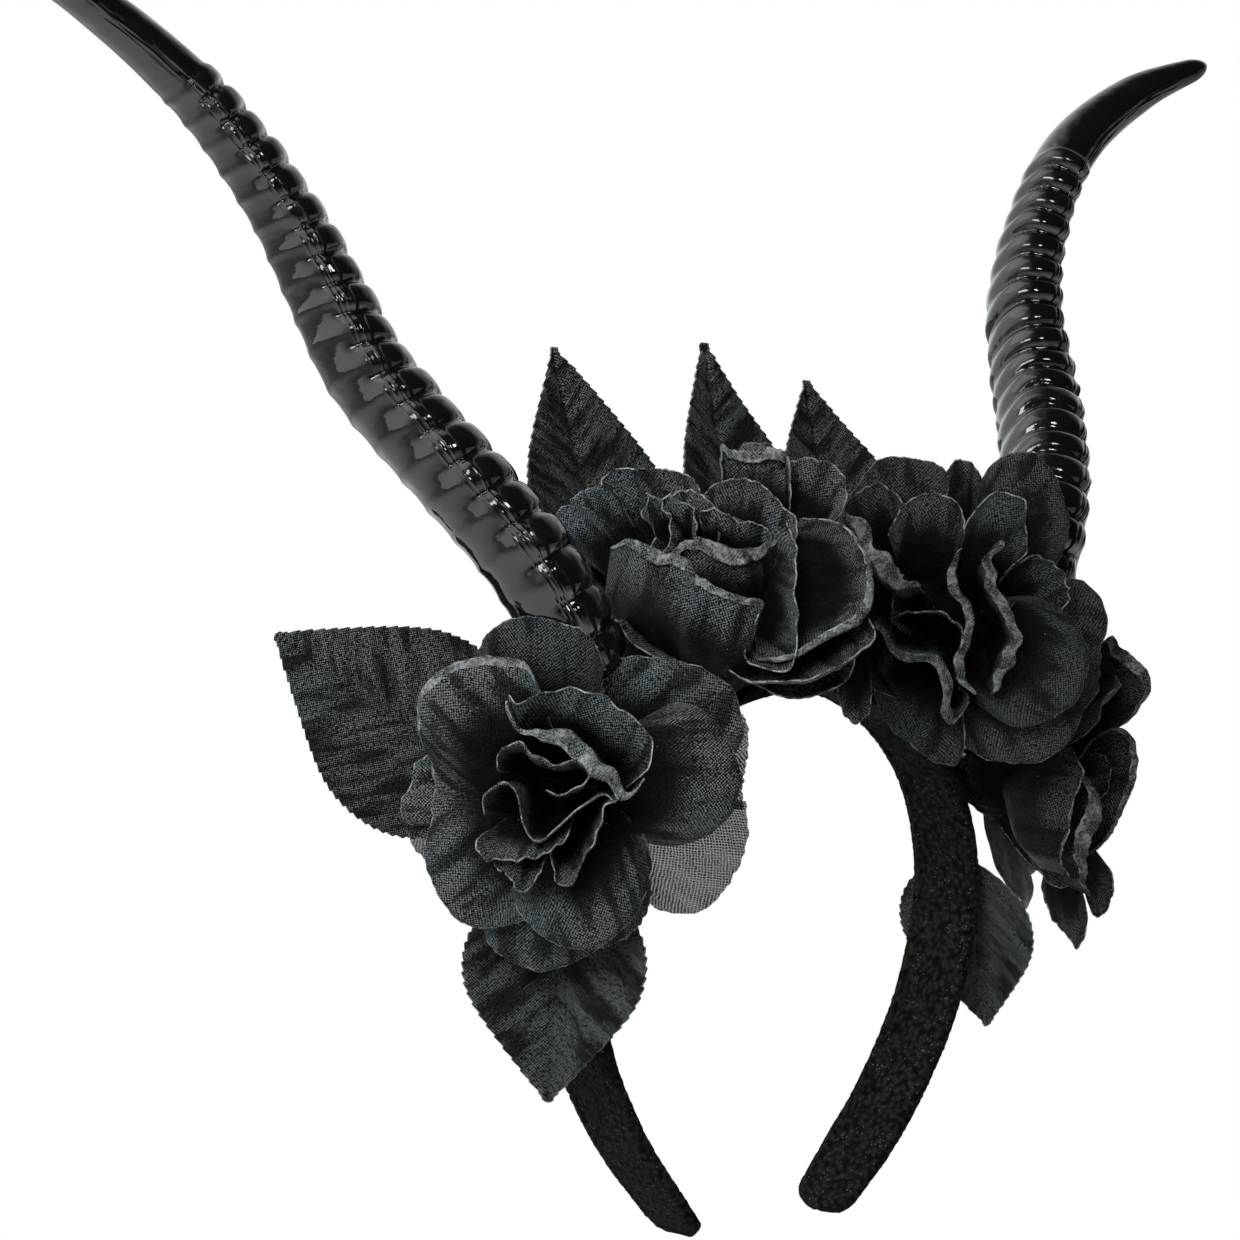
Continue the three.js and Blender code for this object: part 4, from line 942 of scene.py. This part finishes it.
# presses: a point and a direction for each plane that parts a rose from what is beside it
ROSES = [
    Rose("rose_a", PETAL_CLOTH, (-83, -21, 128), (-65, -8, 123), (-0.64, -0.76, 0.06), ROSE_A, [], []),
    Rose("rose_b", PETAL_CLOTH, (-27, -14, 161), (-24, -12, 148), (-0.28, -0.28, 0.92), ROSE_B, [
        Petal("outer", 12, 48, 42, 22, 34, 20, 4, 1.5),
        Petal("outer", 100, 44, 42, 34, 30, 24, 4, 1.5),
    ], [((18, -24, 163), (-0.766, 0.643, 0)), ((-16, 6, 180), (0, -0.97, 0.25))]),
    Rose("rose_c", SHADE_PAINTED_CLOTH, (50, -27, 164), (46, -13, 139), (-0.37, -0.88, 0.3), ROSE_C, [
        Petal("outer", 350, 43, 42, 12, 22, 16, 5, 1),
        Petal("outer", 172, 38, 40, 14, 24, 34, 3, 1),
    ], [((18, -24, 163), (0.766, -0.643, 0)), ((63.5, -30.2, 157), (-0.75, -0.66, 0))]),
    Rose("rose_d", SHADE_PAINTED_CLOTH, (80, -13, 125), (65, -8, 123), (0.72, -0.68, -0.1), ROSE_D, [
        Petal("outer", 62, 48, 44, 24, 26, 20, 5, 1.5),
        Petal("outer", 312, 46, 44, 22, 26, 20, 4, 1.5),
        Petal("outer", 0, 46, 44, 22, 26, 20, 4, 1.5),
        Petal("middle", 25, 46, 42, 52, 18, 26, 4, 1.5),
        Petal("middle", 95, 46, 42, 50, 18, 30, 4, 1.5),
        Petal("middle", 300, 46, 42, 50, 18, 28, 4, 1.5),
    ], [((84.5, -26, 149), (0.48, -0.57, -0.66)), ((66, -18, 142), (0.55, 0.22, -0.8))]),
]

# %% A petal drawn from its rim
RIM_STEPS = 80
WALL_STEPS = 20
LIP_STEPS = 7
LIP_TURN = math.radians(90)
ROLL_RADIUS = 1.4  # of a lip of size 1
FOLD_FROM = 1  # from this lip on the rim is folded over in a flat band
FOLD_WIDTH = 1.9  # of a lip of size 1
FOLD_BEND = 0.8
FOLD_BEND_STEPS = 4
FOLD_TURNS = (math.radians(60), math.radians(160))
FOLD_TAPER = 1.6  # the band narrows towards the ends of the rim by this power
SIDE_HIDDEN = 0.25  # the sides of a petal fray less than its rim, by this much
LIP_PALE = 0.26  # a folded band shows the pale back of the cloth as if it were this near the cut, and so also takes the full painted rim light
LIP_UNEVEN = 0.22
RIM_WAVE = 0.3  # long and short waves of the cut edge
RIM_RAG = 0.26
CRUMPLE = 0.85  # soft dents in the wall
FLUTE = 0.8  # waves that grow towards the rim
OPENED = 0.65  # share of the way out where a petal has its full width
FRONT = (0.3, 0.5, 1.0)  # right, up and towards the viewer, the side that counts as a petal's front


def lay_flat(points, lip=0):
    """Flat layout of a grid of cloth and the distances of its points from the rim and the sides."""
    across = np.linalg.norm(np.diff(points, axis=1), axis=-1)
    along = np.linalg.norm(np.diff(points, axis=0), axis=-1)
    x = np.pad(np.cumsum(across, 1), ((0, 0), (1, 0)))
    y = np.pad(np.cumsum(along, 0), ((1, 0), (0, 0)))
    to_rim = y[-1:] - y
    to_side = np.minimum(x, x[:, -1:] - x) + SIDE_HIDDEN + 3 * (y < 0.3 * y[-1:])
    if lip:
        to_rim[-lip:] = np.minimum(to_rim[-lip:], LIP_PALE)
    return np.stack([x - x[:, -1:] / 2, y], -1), np.stack([to_rim, to_side], -1)


def turned_lip(size, wall, normal, places, ragged):
    """Rows of points that turn the rim over, as a small roll or as a flat band."""
    ahead = unit(wall[-1] - wall[-3])
    beside = normal * np.sign(size)
    full = ((0.2 + 0.8 * np.sin(math.pi * places) ** 0.5) * ragged)[:, None]
    if abs(size) < FOLD_FROM:
        bend = np.linspace(0, LIP_TURN, LIP_STEPS + 1)[1:, None, None]
        radius = ROLL_RADIUS * abs(size) * full
        return wall[-1] + radius * (np.sin(bend) * ahead + (1 - np.cos(bend)) * beside)
    turn = np.clip(math.atan2(ahead[:, 2].mean(), -beside[2]), *FOLD_TURNS)
    bend = np.linspace(0, turn, FOLD_BEND_STEPS + 1)[1:, None, None]
    roll = wall[-1] + FOLD_BEND * full * (np.sin(bend) * ahead + (1 - np.cos(bend)) * beside)
    steps = np.linspace(0, 1, LIP_STEPS - FOLD_BEND_STEPS + 1)[1:, None, None]
    reach = FOLD_WIDTH * abs(size) * full**FOLD_TAPER * steps
    return np.concatenate([roll, roll[-1] + reach * (math.cos(turn) * ahead + math.sin(turn) * beside)])


def ruffle_sheet(row, seed):
    """A petal from its rim, in millimetres right, up and towards the viewer from the hub."""
    places = np.linspace(0, 1, RIM_STEPS)
    v = 2 * places - 1
    line = Line([(x, y, 0) for x, y in row.rim])
    rim = line.at(line.t_at(places))
    start, middle, end = row.near
    rim[:, 2] = (start + end) / 2 * v**2 + (end - start) / 2 * v + middle * (1 - v**2)
    root = np.array(row.root, float)
    centre = rim.mean(0)
    chord = centre - root
    normal = unit(np.cross(rim[-1] - rim[0], chord))
    normal = normal * np.sign(normal @ FRONT)
    ragged = RIM_WAVE * uneven(seed, v, 24) + RIM_RAG * uneven(seed + 4, v, 60)
    rim = rim + unit(rim - root) * ragged[:, None]
    a = np.linspace(0, 1, WALL_STEPS)[:, None, None] ** 0.9
    opened = mix(a, np.sin(math.pi / 2 * np.minimum(1, a / OPENED)), row.full)
    wall = root + chord * a + (rim - centre) * mix(row.neck, 1, opened)
    soft = row.belly * np.sin(math.pi * a[..., 0]) ** 0.9 * (1 - 0.6 * v**2)
    dents = uneven(seed + 1, 1.4 * a[..., 0] + 0.8 * v, 6)
    soft = soft + CRUMPLE * dents * np.sin(math.pi * a[..., 0] ** 0.8)
    soft = soft + FLUTE * uneven(seed + 2, 1.5 * v + 0.4 * a[..., 0], 9) * a[..., 0] ** 3
    wall = wall + soft[..., None] * normal
    if not row.lip:
        flat, edges = lay_flat(wall)
        return Sheet(wall, flat, edges, row.cloth)
    lip = turned_lip(row.lip, wall, normal, places, 1 + LIP_UNEVEN * uneven(seed + 3, v, 5))
    points = np.concatenate([wall, lip])
    flat, edges = lay_flat(points, LIP_STEPS if abs(row.lip) >= FOLD_FROM else 0)
    return Sheet(points, flat, edges, row.cloth)


def from_viewer(points):
    """Points given right, up and towards the viewer, turned to the head's own axes."""
    return points @ np.stack([to_right, [0, 0, 1], to_viewer])


# %% A petal drawn from its turn
PETAL_ROOT = 3.5
PETAL_ROUND = 0.26
PETAL_NECK = 0.14  # size of a petal at its root, as a share of its width
PETAL_TWIST = 4.5
RIM_ROLL = 34  # degrees that the last stretch of the rim rolls back
SLOPE_STEPS = 200


def petal_sheet(row, seed):
    """A petal in its rose's own frame, with the rim rolled back and ruffled."""
    a = np.linspace(0, 1, WALL_STEPS)[:, None] ** 0.85
    v = np.linspace(-1, 1, RIM_STEPS)[None]
    length = row.length * (1 - PETAL_ROUND * np.abs(v) ** 3) * (1 + 0.012 * uneven(seed, v, 16))
    steps = np.linspace(0, 1, SLOPE_STEPS + 1)
    roll = RIM_ROLL * smooth(0.82, 1.0, steps) * np.random.default_rng(seed).uniform(0.4, 1.3)
    slope = np.radians(row.lift + row.rise * steps - row.curl * steps**3 - roll)
    gained = lambda rate: np.concatenate([[0], np.cumsum((rate[1:] + rate[:-1]) / 2)]) / SLOPE_STEPS
    out = PETAL_ROOT + np.interp(a, steps, gained(np.cos(slope))) * length
    up = np.interp(a, steps, gained(np.sin(slope))) * length
    opening = np.sin(math.pi / 2 * np.minimum(1, a / OPENED))
    half = row.width / 2 * mix(PETAL_NECK, 1, opening) * (1 - 0.1 * np.maximum(0, a - OPENED))
    lifted = (row.cup * v * v + PETAL_TWIST * v) * a + row.wave * np.sin(5 * v + row.turn) * a * a
    lifted = lifted + 1.1 * row.wave * uneven(seed + 50, v + 0.2 * a, 7) * a**3
    lifted = lifted + 0.35 * uneven(seed + 90, 1.7 * a + 0.6 * v, 9)
    angle = np.interp(a, steps, slope)
    out = out - np.sin(angle) * lifted
    up = up + np.cos(angle) * lifted
    side = v * half
    turn = math.radians(row.turn)
    points = np.stack([
        out * math.cos(turn) - side * math.sin(turn),
        out * math.sin(turn) + side * math.cos(turn),
        up,
    ], -1)
    flat, edges = lay_flat(points)
    return Sheet(points, flat, edges, OWN)


# %% Placing a rose
def rose_frame(rose):
    """Origin and axes of a rose: z where it faces, y upwards."""
    z = unit(rose.faces)
    y = unit(np.array([0, 0, 1.0]) - z[2] * z)
    return np.array(rose.hub, float), np.stack([np.cross(y, z), y, z])


def press(points, presses):
    """Points pushed off the planes beside a rose, softly over a short reach."""
    for at, towards in presses:
        normal = unit(towards)
        depth = (points - np.array(at, float)) @ normal - PRESS_GAP
        pushed = PRESS_REACH * np.exp((np.minimum(depth, PRESS_REACH) - PRESS_REACH) / PRESS_REACH)
        points = points + np.where(depth < PRESS_REACH, pushed - depth, 0)[..., None] * normal
    return points


for number, rose in enumerate(ROSES):
    hub, axes = rose_frame(rose)
    for layer in ("outer", "middle", "heart"):
        sheets = []
        for k, row in enumerate(rose.ruffles):
            if row.layer == layer:
                sheet = ruffle_sheet(row, 1000 * number + 10 * k)
                sheets.append(sheet._replace(points=from_viewer(sheet.points) + hub))
        for k, row in enumerate(rose.petals):
            if row.layer == layer:
                sheet = petal_sheet(row, 5000 + 1000 * number + 10 * k)
                sheets.append(sheet._replace(points=press(sheet.points @ axes + hub, rose.presses)))
        name = f"{rose.name}_{layer}"
        cloths = [rose.cloth, SHEER_CLOTH, SHADE_PAINTED_CLOTH]
        piece = cloth_piece(name + "_cloth", sheets, cloths, PETAL_CLOTH_THICK)
        dress(piece, name)
        area = flat_area(sheets)
        side = round(math.sqrt(area / BLANK_FILL), 3)
        print(piece.name, len(sheets), "sheets,", round(area * 1e4), "cm2 of cloth")

# %% [markdown]
# ## Leaves
# A leaf is one layer of stiffened cloth, stamped with a saw edge and pressed between veined plates. The
# grid runs finely along the edge, so each tooth is real, and the veins are pressed into the points.

# %% Leaf tables
# fold lifts the sides of a leaf and bow bends its middle out, in millimetres
Leaf = namedtuple("Leaf", "name base tip faces width fold bow")
LEAVES = [
    Leaf("leaf_left", (-69, 1, 116), (-130.5, 47.5, 170.5), (-0.55, -0.8, 0.2), 58, -2, 4),
    Leaf("leaf_below", (-70.5, -7.5, 116), (-85, -14, 45), (-0.75, -0.66, 0.1), 51, 9, 3),
    Leaf("leaf_top_left", (-34, -1, 149), (-50, 27, 249), (-0.08, -1, 0.25), 50, 4, -4),
    Leaf("leaf_top_middle", (11, -1, 155), (7.5, 28, 251), (0, -1, 0.25), 42, 4, -4),
    Leaf("leaf_top_right", (55, -1, 136), (45, 26, 240), (-0.14, -1, 0.25), 53, 4, -4),
    Leaf("leaf_right", (70, -8.5, 110), (88, -7.5, 49), (0.95, 0.1, 0.1), 50, -3, 3),
]
LEAF_STALK = 0.16  # share of the length that is stalk
LEAF_STALK_WIDTH = 3
TOOTH_PITCH = 2.6
TOOTH_DEPTH = 0.8
TOOTH_STEPS = 5
VEIN_PITCH = 11
VEIN_DEPTH = 1.0
VEIN_WIDE = 0.7
VEIN_SLANT = 0.9
MIDRIB_DEPTH = 0.9
MIDRIB_WIDE = 0.9
LEAF_COLUMNS = 33
LEAF_CLOTH_THICK = 0.45


# %% Leaves
def leaf_sheet(leaf, seed):
    """A leaf with its saw edge and pressed veins."""
    base = np.array(leaf.base, float)
    along = np.array(leaf.tip, float) - base
    length = np.linalg.norm(along)
    along = along / length
    face = np.array(leaf.faces, float)
    face = unit(face - face @ along * along)
    sideways = np.cross(along, face)
    rows = int(length / TOOTH_PITCH) * TOOTH_STEPS
    u = np.linspace(0, 1, rows)[:, None]
    v = np.linspace(-1, 1, LEAF_COLUMNS)[None]
    blade = np.clip((u - LEAF_STALK) / (1 - LEAF_STALK), 0, 1)
    full = leaf.width / 2 * np.sin(math.pi * blade**0.76) ** 0.8 * (1 - 0.22 * smooth(0.5, 1, blade))
    saw = (np.arange(rows)[:, None] % TOOTH_STEPS) / TOOTH_STEPS
    half = np.maximum(LEAF_STALK_WIDTH / 2, full - TOOTH_DEPTH * saw * smooth(0, 0.1, blade))
    half = np.where(blade >= 1, 0.2, half)
    a = u * length
    b = v * half
    rib = (a - VEIN_SLANT * np.abs(b)) / VEIN_PITCH
    vein = np.abs((rib + 0.5) % 1 - 0.5) * VEIN_PITCH
    inside = smooth(0.02, 0.15, blade) * (1 - smooth(0.82, 1.0, np.abs(v)))
    groove = np.exp(-((vein / VEIN_WIDE) ** 2))
    pressed = VEIN_DEPTH * (0.6 * np.cos(2 * math.pi * rib) - groove) * inside
    middle = -MIDRIB_DEPTH * np.exp(-((b / MIDRIB_WIDE) ** 2))
    lift = leaf.fold * np.abs(v) * half / (leaf.width / 2) + leaf.bow * np.sin(math.pi * u)
    wavy = 0.9 * uneven(seed, 2 * u - 1, 6) * v * v + 0.6 * uneven(seed + 5, 2 * u - 1 + v, 5) * np.abs(v)
    height = lift - pressed + middle + wavy * smooth(0, 0.2, blade)
    points = base + a[..., None] * along + b[..., None] * sideways + height[..., None] * face
    flat = np.stack([b, a + 0 * v], -1)
    edges = np.stack([(1 - u) * length + 0 * v, (1 - np.abs(v)) * half + 3 * (blade <= 0)], -1)
    return Sheet(points, flat, edges, OWN), length


for number, leaf in enumerate(LEAVES):
    sheet, length = leaf_sheet(leaf, 900 + 10 * number)
    piece = cloth_piece(leaf.name + "_cloth", [sheet], [LEAF_CLOTH], LEAF_CLOTH_THICK)
    dress(piece, leaf.name)
    area = flat_area([sheet])
    print(piece.name, round(length), "mm long,", round(area * 1e4, 1), "cm2 of cloth")

# %% [markdown]
# ## Calyxes
# Behind each rose a short stem, wound in cloth, holds the layers to the band.

# %% Calyxes
CALYX_FOOT = 4.5  # radius at the band
CALYX_TOP = 6.8  # radius under the petals
CALYX_GAP = 0.9
CALYX_SIDES = 28
CALYX_RINGS = 16
WINDING_HIGH = 0.25
WINDING_TURN = 40
FAR_FROM_CUT = 9.0  # a winding shows no cut edge

for rose in ROSES:
    hub, axes = rose_frame(rose)
    foot = np.array(rose.foot, float)
    turn = np.linspace(0, 2 * math.pi, CALYX_SIDES, endpoint=False)
    spokes = np.cos(turn)[:, None] * axes[0] + np.sin(turn)[:, None] * axes[1]
    rings = []
    for share in np.linspace(0, 1, CALYX_RINGS):
        radius = mix(CALYX_FOOT, CALYX_TOP, smooth(0.2, 1, share))
        radius = radius + WINDING_HIGH * math.sin(share * WINDING_TURN)
        rings.append(mix(foot, hub - axes[2] * CALYX_GAP, share) + radius * spokes)
    points, faces = tube(rings)
    name = rose.name + "_calyx"
    piece = mesh_piece(name + "_winding", points, faces, [CALYX_CLOTH])
    add_map(piece.data, "flat", points[:, [0, 2]])
    add_map(piece.data, "edges", np.full((len(points), 2), FAR_FROM_CUT))
    dress(piece, name)
    print(piece.name, len(faces), "faces")

# %% [markdown]
# ## Ground and light
# A pale sweep carries the tiara. It is white to the camera and grey to the light that it throws back.
# Only mirrors see the glowing pool of painted light around the feet, because gloss plastic shows what is
# under it.

# %% Ground
ground = bpy.data.meshes.new("ground")
GROUND_HALF = 30.0
corners = [(-GROUND_HALF, -GROUND_HALF, 0), (GROUND_HALF, -GROUND_HALF, 0), (GROUND_HALF, GROUND_HALF, 0),
           (-GROUND_HALF, GROUND_HALF, 0)]
ground.from_pydata(corners, [], [(0, 1, 2, 3)])
floor = bpy.data.objects.new("ground", ground)
bpy.context.scene.collection.objects.link(floor)
PALE_GROUND, tree, shader = new_material("pale ground")
shader.inputs["Base Color"].default_value = (0.45, 0.45, 0.44, 1.0)
# Painted light: the ground glows in this colour for mirrors only, brightest in a pool round the feet.
shader.inputs["Emission Color"].default_value = (0.72, 0.75, 0.72, 1.0)
shader.inputs["Roughness"].default_value = 0.9
shader.inputs["Specular IOR Level"].default_value = 0.0
paper = wire(tree, "ShaderNodeEmission", (1.0, 1.0, 1.0, 1.0), 1.0)
path = wire(tree, "ShaderNodeLightPath")
to_camera = path.outputs["Is Camera Ray"]
far = wire(tree, "ShaderNodeVectorMath", place_in_frame(tree), operation="LENGTH").outputs["Value"]
painted_light_pool = maths(tree, "MULTIPLY", path.outputs["Is Glossy Ray"], ramp(tree, far, 0.2, 0.9, 2.0, 0.5))
tree.links.new(painted_light_pool, shader.inputs["Emission Strength"])
sweep = wire(tree, "ShaderNodeMixShader", to_camera, shader.outputs[0], paper.outputs[0])
tree.links.new(sweep.outputs[0], tree.nodes["Material Output"].inputs["Surface"])
ground.materials.append(PALE_GROUND)

# %% [markdown]
# Cloth and gloss plastic want different light, and Cycles lets a lamp or a world be seen by one kind of ray
# alone. The world is brighter on the left and behind, which gives the long grey reflections on the horns,
# and dim to the cloth. A key panel on the left lights the cloth and no mirror shows it. Two small panels do
# the reverse and draw the bright marks on the rings, and a wide one overhead does a little of both.

# %% World
world = bpy.data.worlds.new("studio")
bpy.context.scene.world = world
world.use_nodes = True
tree = world.node_tree
seen = tree.nodes["Background"]
seen.inputs["Color"].default_value = (1.0, 1.0, 1.0, 1.0)
seen.inputs["Strength"].default_value = 1.0
around = wire(tree, "ShaderNodeBackground")
around.inputs["Color"].default_value = (0.94, 1.0, 0.94, 1.0)
heading = wire(tree, "ShaderNodeTexCoord").outputs["Generated"]
bright_side = unit(-0.9 * to_right + 0.15 * to_viewer + np.array([0, 0, 0.12]))
left = wire(tree, "ShaderNodeVectorMath", heading, tuple(bright_side), operation="DOT_PRODUCT")
behind = wire(tree, "ShaderNodeVectorMath", heading, tuple(-to_viewer), operation="DOT_PRODUCT")
left_glow = ramp(tree, left.outputs["Value"], -0.15, 0.75, 0.03, 2.3)
glow = maths(tree, "ADD", left_glow, ramp(tree, behind.outputs["Value"], 0.3, 0.95, 0.0, 1.0))
path = wire(tree, "ShaderNodeLightPath")
dimmed = ramp(tree, path.outputs["Is Diffuse Ray"], 0.0, 1.0, 1.0, 0.2)
tree.links.new(maths(tree, "MULTIPLY", glow, dimmed), around.inputs["Strength"])
both = wire(tree, "ShaderNodeMixShader", path.outputs["Is Camera Ray"], around.outputs[0], seen.outputs[0])
tree.links.new(both.outputs[0], tree.nodes["World Output"].inputs["Surface"])
bpy.context.scene.view_settings.view_transform = "Standard"

# %% Light panels
LIGHT_AIM = np.array([0.0, 0.0, 170.0])
# lights: seen by the cloth; mirrors: seen in the gloss
Panel = namedtuple(
    "Panel", "name right up towards wide tall shine tint lights mirrors", defaults=(True, True))
PANELS = [
    Panel("left key", -320, 650, 940, 450, 450, 12.5, (1.0, 1.0, 1.0), True, False),
    Panel("front mark", 120, 1000, 1100, 340, 340, 15, (1.0, 1.0, 1.0), False, True),
    Panel("right mark", 720, 900, 780, 180, 240, 24, (1.0, 1.0, 1.0), False, True),
    Panel("overhead", -300, 1400, 250, 900, 900, 1.2, (0.96, 0.98, 1.0)),
]
for panel in PANELS:
    lamp = bpy.data.lights.new(panel.name, "AREA")
    lamp.shape = "RECTANGLE"
    lamp.size = panel.wide * MM
    lamp.size_y = panel.tall * MM
    lamp.color = panel.tint
    lamp.energy = panel.shine * math.pi * lamp.size * lamp.size_y
    light = bpy.data.objects.new(panel.name, lamp)
    bpy.context.scene.collection.objects.link(light)
    light.visible_diffuse = panel.lights
    light.visible_glossy = panel.mirrors
    place = panel.right * to_right + panel.towards * to_viewer + np.array([0, 0, panel.up])
    light.location = in_frame(place)
    aim = LIGHT_AIM - place
    light.rotation_euler = Vector(aim).to_track_quat("-Z", "Y").to_euler()
    print("panel", panel.name, round(lamp.energy, 1), "W")
